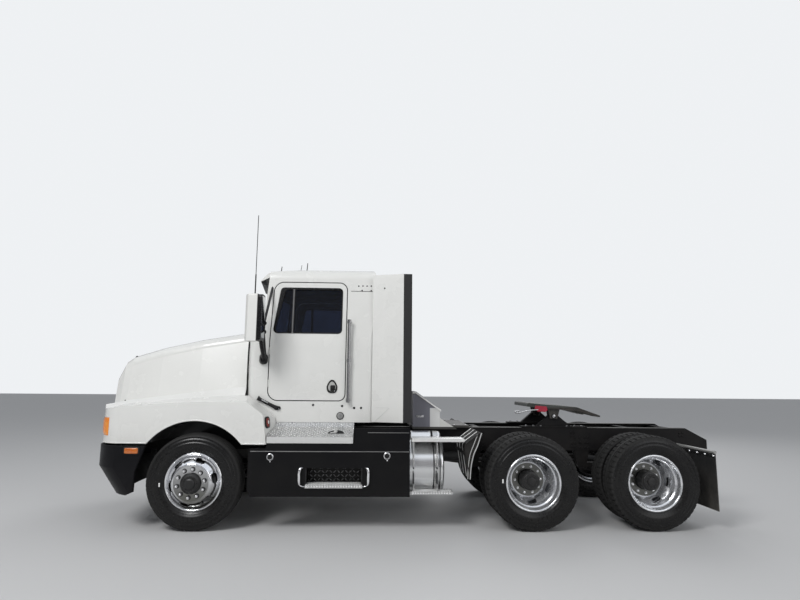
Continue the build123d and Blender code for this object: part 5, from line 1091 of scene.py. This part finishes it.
# Two thin grey metallic beads run along the skirt's edges.
skirt_bead_grey = finish("skirt_bead_grey", (0.16, 0.16, 0.16), (0.30, 0.30, 0.29), patch=3.0, roughness=(0.3, 0.5), metallic=0.5)
skirt_y = -1.2005
beads = [tube([(x, skirt_y, z) for x in np.linspace(start, -0.135, count)], radius, 8)
         for start, z, count, radius in ((-1.812, 0.820, 30, 0.0045), (-0.578, 1.018, 12, 0.0035))]
make_pair("skirt_beads", beads, skirt_bead_grey, crease=60)
ring_line = [(0.022, 0.000), (0.025, 0.007), (0.032, 0.009), (0.037, 0.006), (0.038, -0.004), (0.022, -0.004)]
face_disc = [(0.0, 0.006), (0.010, 0.006), (0.012, 0.002), (0.023, 0.002), (0.023, -0.003), (0.0, -0.003)]
latch_rings, latch_faces = [], []
for x, z in ((-1.604, 0.763), (-0.371, 0.777)):
    latch_rings += [turned(ring_line, (x, -1.200, z), leftward, 32, loop=True),
                    heads([(x + 0.003, -1.200, z - 0.048)], leftward,
                          [(0.007, -0.002), (0.007, 0.004), (0.004, 0.006)], 10)]
    latch_faces.append(turned(face_disc, (x, -1.200, z), leftward, 24))
make_pair("skirt_latches", latch_rings, bright_steel)
make_pair("latch_faces", latch_faces, black_rubber_and_shade)


# Steps
# The step under the door and the treads by the tank are rolled aluminium tread plate, folded and welded. The side
# step stands in the skirt's recess between two chromed handles.
def lens_field(tree, place, pitch, squeeze, shift):
    """Height of one family of raised lenses: one in each square cell, highest in its middle, long in one direction."""
    cell = new_node(tree, "Mapping", {"Vector": place, "Rotation": (0.0, 0.0, math.pi / 4),
                                      "Scale": (1 / pitch, 1 / pitch, 1.0), "Location": (shift, shift, 0.0)})
    for inputs, operation in (({}, "FRACTION"), ({1: (0.5, 0.5, 0.0)}, "SUBTRACT"), ({1: squeeze}, "MULTIPLY")):
        cell = new_node(tree, "VectorMath", {0: cell.outputs["Vector"], **inputs}, operation)
    away = new_node(tree, "VectorMath", {0: cell.outputs["Vector"]}, "LENGTH")
    return ranged(tree, away.outputs["Value"], 1.0, 0.65)


def tread_plate(name, colour, other_colour, pitch, plain=None, lens=(0.95, 0.95, 0.94), dusty=0.2):
    """Aluminium sheet with raised lenses in two crossed families; the plate is read over x and over y plus z."""
    material = finish(name, colour, other_colour, patch=9.0, roughness=(0.22, 0.40), metallic=0.75, grain=500.0,
                      depth=0.0001, dust=(0.3, 1.3, dusty))
    tree = material.node_tree
    place = new_node(tree, "SeparateXYZ", {"Vector": object_place(tree)}).outputs
    flat = new_node(tree, "CombineXYZ", {"X": place["X"], "Y": number(tree, "ADD", place["Y"], place["Z"])})
    first, second = (lens_field(tree, flat.outputs["Vector"], pitch, squeeze, shift)
                     for squeeze, shift in (((2.3, 7.0, 0.0), 0.0), ((7.0, 2.3, 0.0), 0.5)))
    height = number(tree, "MAXIMUM", first, second)
    if plain:
        height = product(material, height, plain(material))
    zone(material, height, lens, 0.2)
    shader = tree.nodes["Principled BSDF"]
    bump = new_node(tree, "Bump", {"Strength": 1.0, "Distance": 0.003, "Height": height,
                                   "Normal": shader.inputs["Normal"].links[0].from_socket})
    wire(tree, shader, {"Normal": bump.outputs["Normal"]})
    return material


def on_the_lip(material):
    """One on the plain lip of the step under the door and nought elsewhere."""
    return product(material, outboard(material, 1.1985, 0.0005), between(material, "Z", 0.900, 0.9695))


def off_the_lip(material):
    """Nought on that lip and one elsewhere."""
    return number(material.node_tree, "SUBTRACT", 1.0, on_the_lip(material))


step_plate = tread_plate("step_plate", (0.44, 0.44, 0.44), (0.56, 0.56, 0.55), 0.036, plain=off_the_lip)
zone(step_plate, on_the_lip(step_plate), (0.90, 0.90, 0.88), 0.35, 0.2)
zone(step_plate, between(step_plate, "Z", 0.486, 0.66), (0.012, 0.012, 0.013), 0.5, 0.0)
dress(step_plate, "steps")
grips = []
grip_pitch = 0.028
for low_x, high_x, front_y, top_z, rows in ((-1.215, -0.642, -1.218, 0.482, 6), (-0.095, 0.320, -1.2, 0.412, 5),
                                            (-0.095, 0.448, -1.2, 0.956, 5)):
    for row in range(rows):
        x = np.arange(low_x + (row % 2) * grip_pitch / 2, high_x, grip_pitch)
        grips.append(heads(laid(crossed(x, [front_y + 0.014 + grip_pitch * row]), top_z, "xyz"), (0, 0, 1),
                           [(0.0095, -0.001), (0.0095, 0.003), (0.004, 0.006)]))
    x = np.arange(low_x, high_x, grip_pitch)
    grips.append(heads(laid(crossed(x, [top_z - 0.016]), front_y), leftward,
                       [(0.0095, -0.001), (0.0095, 0.002), (0.004, 0.004)]))
grip_metal = finish("grip_metal", (0.92, 0.92, 0.91), (0.82, 0.82, 0.81), patch=40.0, roughness=(0.25, 0.4),
                    metallic=0.4)
make_pair("step_grips", grips, grip_metal, crease=50)
recess_tread = tread_plate("recess_tread", (0.006, 0.006, 0.006), (0.010, 0.010, 0.010), 0.060, lens=(0.09, 0.09, 0.09),
                           dusty=0.02)
tread_outline = [(-1.220, 0.486), (-0.640, 0.486), (-0.640, 0.646), (-1.220, 0.646)]
make_pair("recess_treads", [prism(tread_outline, -1.0145, -1.0105)], recess_tread)
slope_place, slope_normal = (-0.921, -1.1235, 1.0126), (0.0, -0.487, 0.873)
half_moon = oval(0.086, 0.062, 2.2, 40)
half_moon = np.stack([half_moon[:, 0], np.maximum(half_moon[:, 1], 0.0) - 0.022], axis=1)
make_pair("step_recess", [raised(slope_place, slope_normal, half_moon, [(1.0, -0.002), (1.0, 0.002)])], black_rubber_and_shade)
recess_cap = [
    raised(slope_place, slope_normal, half_moon * (0.40, 0.36) + (-0.030, -0.010), [(1.0, 0.001), (1.0, 0.004)]),
    heads([(-0.926, -1.1205, 1.0175)], slope_normal, [(0.021, 0.001), (0.021, 0.010), (0.015, 0.014)], 20),
]
make_pair("recess_cap", recess_cap, grey_plate)

chrome = finish("chrome", (0.90, 0.90, 0.91), (0.84, 0.84, 0.85), patch=20.0, roughness=(0.03, 0.08), metallic=1.0)
handle_line = curve_through(
    [(-1.258, -1.196, 0.652), (-1.282, -1.214, 0.645), (-1.291, -1.221, 0.610), (-1.291, -1.222, 0.560),
     (-1.289, -1.221, 0.505), (-1.280, -1.218, 0.478), (-1.255, -1.214, 0.466), (-1.224, -1.212, 0.464)], 5)
handle_width = widths(handle_line, [0.0, 0.15, 0.55, 0.72, 1.0], [0.009, 0.016, 0.015, 0.006, 0.004])
other_handle = handle_line * (-1.0, 1.0, 1.0) + (-1.857, 0.0, 0.0)
make_pair("step_handles", [tube(line, handle_width) for line in (handle_line, other_handle)], chrome)


# Fuel tanks
# Spun aluminium tanks, polished, each held on saddles by steel straps over strips of rubber.
tank_aluminium = finish("tank_aluminium", (0.85, 0.855, 0.86), (0.80, 0.805, 0.81), patch=1.2, roughness=(0.24, 0.27),
                        metallic=1.0, grain=800.0, depth=0.00002, dust=(0.35, 0.75, 0.06))
strap_low, strap_high = 0.14, 0.20
zone(tank_aluminium, between(tank_aluminium, "X", strap_low, strap_high, 0.0005), (0.60, 0.60, 0.60), 0.22)
dress(tank_aluminium, "fuel_tanks")
strap_ring = [(0.279, -0.005), (0.2885, -0.005), (0.2885, 0.005), (0.279, 0.005)]
strap_rubber = [turned(strap_ring, (x, -0.850, 0.640), (1, 0, 0), 64, loop=True)
                for x in (strap_low - 0.003, strap_high + 0.003)]
make_pair("strap_rubbers", strap_rubber, black_rubber_and_shade, crease=30)
for name, crown_x, crown_radius, material, crease in (
        ("tank_crowns", (-0.100, 0.185, 0.212, 0.228, 0.2355), (0.086, 0.086, 0.081, 0.068, 0.045), tank_aluminium, 50),
        ("crown_bands", (0.118, 0.142), 0.0885, black_rubber_and_shade, 40)):
    make_pair(name, [tube([(x, -0.842, 0.928) for x in crown_x], crown_radius, 32)], material, crease=crease)


# Muffler and pipes
# Aluminised steel under the passenger's side, blued by heat near the inlet.
muffler_steel = finish("muffler_steel", (0.42, 0.40, 0.37), (0.26, 0.22, 0.19), patch=5.0, roughness=(0.35, 0.6),
                       metallic=0.85, grain=300.0, depth=0.0003, dust=(0.5, 1.0, 0.35))
zone(muffler_steel, fades(muffler_steel, "X", -1.95, -1.70, 0.6, 0.0), (0.12, 0.11, 0.16), 0.4)
dress(muffler_steel, "muffler")


# Deck and box behind the cab
# Tread plate on the rails, and a box with a sloping lid on the driver's side, painted grey-blue as a painted
# shadow of the cab except for its pale rear end, and a pale wedge behind it.
deck_paint = finish("deck_paint", (0.016, 0.016, 0.017), (0.03, 0.03, 0.03), patch=4.0, roughness=(0.4, 0.6),
                    grain=250.0, depth=0.0004, dust=(0.9, 1.3, 0.3))
box_share = product(deck_paint, fades(deck_paint, "Z", 1.0505, 1.0515, 0.0, 1.0),
                    fades(deck_paint, "Y", -0.109, -0.108, 1.0, 0.0))
# The box is painted grey-blue as a painted shadow cast by the cab.
zone(deck_paint, box_share, (0.17, 0.17, 0.20), 0.45)
# Its rear end, out of that shadow, is left pale.
zone(deck_paint, product(deck_paint, box_share, between(deck_paint, "X", 0.126, 0.2405),
                         fades(deck_paint, "Z", 1.262, 1.264, 1.0, 0.0)), (0.66, 0.66, 0.65), 0.35)
wedge_share = product(deck_paint, box_share, fades(deck_paint, "X", 0.2405, 0.2415, 0.0, 1.0))
zone(deck_paint, wedge_share, (0.60, 0.60, 0.57), 0.5)
dress(deck_paint, "deck")
# The white strips along the lid's edges are a painted highlight where the lid's edge catches the light.
lid_edge = [(-0.075, 1.4485), (-0.040, 1.4485), (0.252, 1.2430), (0.254, 1.2210), (-0.040, 1.4275), (-0.075, 1.4275)]
make_piece("box_lid_edges", [prism(lid_edge, -0.7785, -0.7695), prism(lid_edge, -0.1105, -0.1055)], white_paint_and_highlight,
           crease=30)
box_latch = [raised((0.010, -0.7605, 1.168), leftward, round_box((-0.042, 0.042), (-0.013, 0.013), 0.006, 4),
                    [(1.0, -0.002), (1.0, 0.008), (0.8, 0.012)])]
make_piece("box_latch", box_latch, bright_steel)
deck_bolts = laid(crossed([0.0, 0.22, 0.44, 0.58], [-0.47, 0.47]), 1.050, "xyz")
make_piece("deck_bolts", [heads(deck_bolts, (0, 0, 1), [(0.011, -0.001), (0.011, 0.007), (0.008, 0.009)])],
           bright_steel)


# Quarter fenders
# Folded aluminium sheets ahead of the forward duals, coloured near-black as a painted reflection of their dark
# surroundings. Thin bright ribs run down over the fold, and two rims and a gusset close the near edge.
# The aluminium sheet is coloured near-black as a painted reflection of its dark surroundings.
fender_plate = finish("fender_plate", (0.010, 0.010, 0.010), (0.022, 0.021, 0.020), patch=8.0, roughness=(0.55, 0.7),
                      grain=300.0, depth=0.0004, dust=(0.4, 1.2, 0.08), shine=0.2)
dress(fender_plate, "quarter_fenders")
fender_bright = finish("fender_bright", (0.72, 0.72, 0.71), (0.55, 0.55, 0.54), patch=30.0, roughness=(0.3, 0.45),
                       metallic=0.6)
fold = rounded([(0.631, 1.029), (0.453, 0.898), (0.504, 0.539)], [0.001, 0.070, 0.001], 9)
fold_line = np.concatenate([
    [(0.622, 1.0224), (0.56, 0.9768)], fold[9:18], [(0.470, 0.780), (0.486, 0.665), (0.5025, 0.550)],
])
fender_beads = [tube(laid(fold_line - (0.001, 0.0), y), radius, 8)
                for y, radius in ((-1.040, 0.0045), (-0.830, 0.0045), (-0.625, 0.0050))]
outer_rim, inner_rim = (curve_through(line, 5) for line in (
    [(0.640, 1.023), (0.595, 0.892), (0.552, 0.796), (0.524, 0.679), (0.510, 0.542)],
    [(0.596, 1.003), (0.550, 0.892), (0.513, 0.796), (0.494, 0.679), (0.4865, 0.545)]))
fender_beads += [tube(laid(rim, -1.2195), radius, 8) for rim, radius in ((outer_rim, 0.0065), (inner_rim, 0.0045))]
make_pair("fender_beads", fender_beads, fender_bright, crease=60)
gusset = np.concatenate([[(0.630, 1.029)], fold_line[2:] + (0.003, 0.0), outer_rim[::-1]])
make_pair("fender_gussets", [prism(gusset, -1.2205, -1.2165)], fender_plate, crease=30)


# Mud flaps
# Plain rubber sheets clamped to spring steel bars; the sheet is dusty towards its foot.
flap_rubber = finish("flap_rubber", (0.012, 0.012, 0.012), (0.02, 0.02, 0.02), patch=6.0, roughness=(0.55, 0.75),
                     grain=350.0, depth=0.0004, dust=(0.2, 0.7, 0.35))
zone(flap_rubber, fades(flap_rubber, "Z", 0.8145, 0.8155, 0.0, 1.0), (0.30, 0.30, 0.29), 0.4)
dress(flap_rubber, "mud_flaps")
flap_clips = [heads([(3.168, y, 0.790)], (-1, 0, 0), [(0.014, -0.004), (0.014, 0.008), (0.010, 0.011)], 8)
              for y in (-1.20, -1.04, -0.88, -0.72)]
clamp_bar = [prism(round_box((-1.226, -0.612), (0.776, 0.804), 0.005, 3), 3.1655, 3.1695, "yzx")]
make_pair("flap_clamps", clamp_bar + flap_clips, bright_steel, crease=35)


# Fifth wheel
# Cast and forged steel under grease: a plate that tilts on two pins in its pedestals, with a jaw for the kingpin,
# a red lock bracket on its driver's side and a bright release rod.
greased_iron = finish("greased_iron", (0.016, 0.016, 0.015), (0.05, 0.045, 0.04), patch=7.0, roughness=(0.22, 0.55),
                      metallic=0.3, grain=150.0, depth=0.0008, dust=(1.0, 1.4, 0.2))
zone(greased_iron, fades(greased_iron, "Z", 1.262, 1.272, 0.0, 0.45), (0.10, 0.115, 0.105), 0.35)
dress(greased_iron, "fifth_wheel_plate")
dress(chassis_paint, "fifth_wheel_base")
bracket = [(1.426, 1.250), (1.440, 1.288), (1.575, 1.276), (1.584, 1.232), (1.556, 1.211), (1.462, 1.218)]
lock_red = finish("lock_red", (0.42, 0.016, 0.045), (0.32, 0.012, 0.03), patch=16.0, roughness=(0.35, 0.55))
make_piece("lock_bracket", [prism(rounded(bracket, [0.008] * 6, 4), -0.4705, -0.4555)], lock_red,
           "fifth_wheel_plate", soften=0.002, crease=30)
rod_line = curve_through(
    [(1.470, -0.466, 1.238), (1.380, -0.478, 1.232), (1.310, -0.484, 1.222), (1.255, -0.486, 1.205),
     (1.205, -0.486, 1.196), (1.182, -0.486, 1.206), (1.190, -0.486, 1.220), (1.235, -0.486, 1.219)], 6)
make_piece("release_rod", [tube(rod_line, 0.0065, 10)], bright_steel, "fifth_wheel_plate", crease=50)
foot_bolts = laid(crossed([1.33, 1.42, 1.51, 1.83, 1.92, 2.01], [-0.415, 0.415]), 1.041, "xyz")
make_piece("foot_bolts", [heads(foot_bolts, (0, 0, 1), [(0.014, -0.001), (0.014, 0.010), (0.010, 0.013)])],
           bright_steel)
pin_bolts = [heads([(1.670, hand * 0.432, 1.160)], (0, hand, 0), [(0.022, -0.001), (0.022, 0.007), (0.015, 0.010)])
             for hand in (-1, 1)]
make_piece("pin_bolts", pin_bolts, bright_steel)


# Seats
# Air-sprung truck seats: foam cushions in grey cloth, sewn in channels, on steel pedestals.
# The covers are swelled by a cloth simulation with a little air pressure, then their seams are drawn in.
seat_cloth = finish("seat_cloth", (0.055, 0.06, 0.07), (0.085, 0.09, 0.10), patch=25.0, roughness=(0.8, 0.95),
                    grain=1500.0, depth=0.0006)
seat_cloth.node_tree.nodes["Principled BSDF"].inputs["Sheen Weight"].default_value = 0.4


def pad(name, outline, y_span, radius, swell):
    """Closed pad from a side outline carried across, remeshed, swelled by air pressure and capped in its movement."""
    points, quads, caps = prism(rounded(outline, [radius] * len(outline), 6), *y_span)
    mesh = bpy.data.meshes.new(name)
    mesh.from_pydata(points.tolist(), [], quads.tolist() + [cap.tolist() for cap in caps])
    work = bmesh.new()
    work.from_mesh(mesh)
    bmesh.ops.recalc_face_normals(work, faces=work.faces)
    bmesh.ops.bevel(work, geom=[edge for edge in work.edges if edge.calc_face_angle(0.0) > 1.2], offset=radius * 0.8,
                    segments=4, affect="EDGES")
    work.to_mesh(mesh)
    work.free()
    piece = bpy.data.objects.new(name, mesh)
    bpy.context.scene.collection.objects.link(piece)
    grid = piece.modifiers.new("grid", "REMESH")
    grid.mode = "VOXEL"
    grid.voxel_size = 0.012
    shaped = bpy.data.meshes.new_from_object(piece.evaluated_get(bpy.context.evaluated_depsgraph_get()))
    piece.modifiers.clear()
    piece.data = shaped
    count = len(shaped.vertices)
    rest = np.empty(count * 3)
    shaped.vertices.foreach_get("co", rest)
    moved = rest.copy()
    cloth = piece.modifiers.new("swelling", "CLOTH")
    cloth.settings.use_pressure = True
    cloth.settings.uniform_pressure_force = 4.0
    cloth.settings.effector_weights.gravity = 0.0
    for step in range(1, 21):
        bpy.context.scene.frame_set(step)
    blown = piece.evaluated_get(bpy.context.evaluated_depsgraph_get()).data
    blown.vertices.foreach_get("co", moved)
    piece.modifiers.clear()
    bpy.context.scene.frame_set(1)
    rest, moved = rest.reshape(-1, 3), moved.reshape(-1, 3)
    shift = moved - rest
    reach = np.linalg.norm(shift, axis=1, keepdims=True)
    return piece, rest + shift * np.minimum(1.0, swell / np.maximum(reach, 1e-9))


def sewn(piece, points, across, along, depth):
    """Draws seams in: at each seam's place a point moves inward by the depth times a bell curve of its distance."""
    mesh = piece.data
    mesh.vertices.foreach_set("co", points.ravel())
    mesh.update()
    normals = np.empty(len(mesh.vertices) * 3)
    mesh.vertices.foreach_get("normal", normals)
    middle = np.mean(points[:, 1])
    letter, places, reach = along
    seam_width = 0.009
    inside = np.abs(points[:, 1] - middle) < reach
    pulls = [np.exp(-((points[:, 1] - middle - y) / seam_width) ** 2) for y in across]
    pulls += [inside * np.exp(-((points[:, letter] - value) / seam_width) ** 2) for value in places]
    pull = np.max(pulls, axis=0)[:, None]
    mesh.vertices.foreach_set("co", (points - depth * pull * normals.reshape(-1, 3)).ravel())
    mesh.update()


cushion_outline = [(-1.306, 1.652), (-0.854, 1.652), (-0.854, 1.758), (-1.306, 1.778)]
back_outline = [(-0.935, 1.800), (-0.830, 1.780), (-0.728, 2.388), (-0.800, 2.388)]
seat_y = -0.480
for name, outline, half, seams in (
        ("cushion", cushion_outline, 0.238, (0, (-1.20, -1.08, -0.96), 0.135)),
        ("back", back_outline, 0.228, (2, (1.90, 2.02, 2.14, 2.26), 0.130))):
    piece, points = pad(f"seat_{name}_left", outline, (seat_y - half, seat_y + half), 0.026, 0.012)
    sewn(piece, points, (-seams[2], seams[2]), seams, 0.009)
    twin_mesh = piece.data.copy()
    places = np.empty(len(twin_mesh.vertices) * 3)
    twin_mesh.vertices.foreach_get("co", places)
    places = places.reshape(-1, 3) + (0.0, -2 * seat_y, 0.0)
    twin_mesh.vertices.foreach_set("co", places.ravel())
    twin = bpy.data.objects.new(f"seat_{name}_right", twin_mesh)
    bpy.context.scene.collection.objects.link(twin)
    for seat_pad in (piece, twin):
        seat_pad.data.materials.append(seat_cloth)
        seat_pad.data.polygons.foreach_set("use_smooth", np.ones(len(seat_pad.data.polygons), dtype=bool))
        smooth = seat_pad.modifiers.new("smooth", "SUBSURF")
        smooth.levels = smooth.render_levels = 1
        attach(seat_pad, "chassis")
        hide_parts("seats")
pedestal = []
for y in (seat_y, -seat_y):
    low, high = (round_box((-1.080 - reach, -1.080 + reach), (y - half, y + half), 0.03)
                 for reach, half in ((0.170, 0.140), (0.140, 0.120)))
    rings = [laid(ring, z, "xyz") for ring, z in (
        (low, 1.3105), (low, 1.345), (high, 1.36), (high, 1.40), (high, 1.43), (low, 1.585), (low, 1.640))]
    pedestal.append(grid_shape(np.stack(rings), round_columns=True, ends=True))
    fold_ring = round_box((-1.256, -0.904), (y - 0.146, y + 0.146), 0.035)
    pedestal += [tube(laid(fold_ring, level, "xyz"), 0.013, 8, closed=True)
                 for level in (1.445, 1.475, 1.505, 1.535, 1.565)]
    pedestal.append(prism(round_box((-1.290, -0.870), (y - 0.225, y + 0.225), 0.03), 1.638, 1.656, "xyz"))
seat_frame = finish("seat_frame", (0.014, 0.014, 0.015), (0.025, 0.025, 0.025), patch=12.0, roughness=(0.45, 0.65))
make_piece("seat_pedestals", pedestal, seat_frame, hides=["seats"], crease=45)


# Dashboard
# Moulded in soft grey plastic across the cab, with the driver's dials let into its sloping face.
grey_plastic = finish("grey_plastic", (0.035, 0.036, 0.038), (0.055, 0.055, 0.057), patch=10.0, roughness=(0.5, 0.7),
                      grain=900.0, depth=0.0004)
dress(grey_plastic, "dashboard")
dial_normal = np.array([0.832, 0.0, 0.555])
needle = unit(np.cross(dial_normal, (0.0, 1.0, 0.0)) + (0.0, 1.0, 0.0))
dial_rings, dial_faces, dial_needles = [], [], []
for y, radius in ((-0.80, 0.026), (-0.72, 0.026), (-0.62, 0.040), (-0.50, 0.040), (-0.40, 0.026), (-0.32, 0.026),
                  (-0.24, 0.026)):
    centre = np.array([-1.630, y, 2.040])
    dial_rings.append(turned([(radius * 0.88, 0.001), (radius, 0.006), (radius * 1.08, 0.001), (radius, -0.003)],
                             centre, dial_normal, 28, loop=True))
    dial_faces.append(turned([(0.0, 0.0015), (radius * 0.9, 0.0015), (radius * 0.9, -0.002), (0.0, -0.002)], centre,
                             dial_normal, 28))
    hub = centre + 0.003 * dial_normal
    dial_needles.append(tube([hub, hub + 0.75 * radius * needle], 0.0009, 6))
make_piece("dial_rings", dial_rings, bright_steel, crease=50)
make_piece("dial_faces", dial_faces, black_rubber_and_shade, crease=50)
make_piece("dial_needles", dial_needles, white_paint_and_highlight)


# Steering wheel
# Foam grip moulded on a steel rim, with plastic-covered spokes.
wheel_grip = finish("wheel_grip", (0.012, 0.012, 0.012), (0.022, 0.022, 0.022), patch=14.0, roughness=(0.4, 0.55),
                    grain=1100.0, depth=0.0005)
dress(wheel_grip, "steering_wheel")
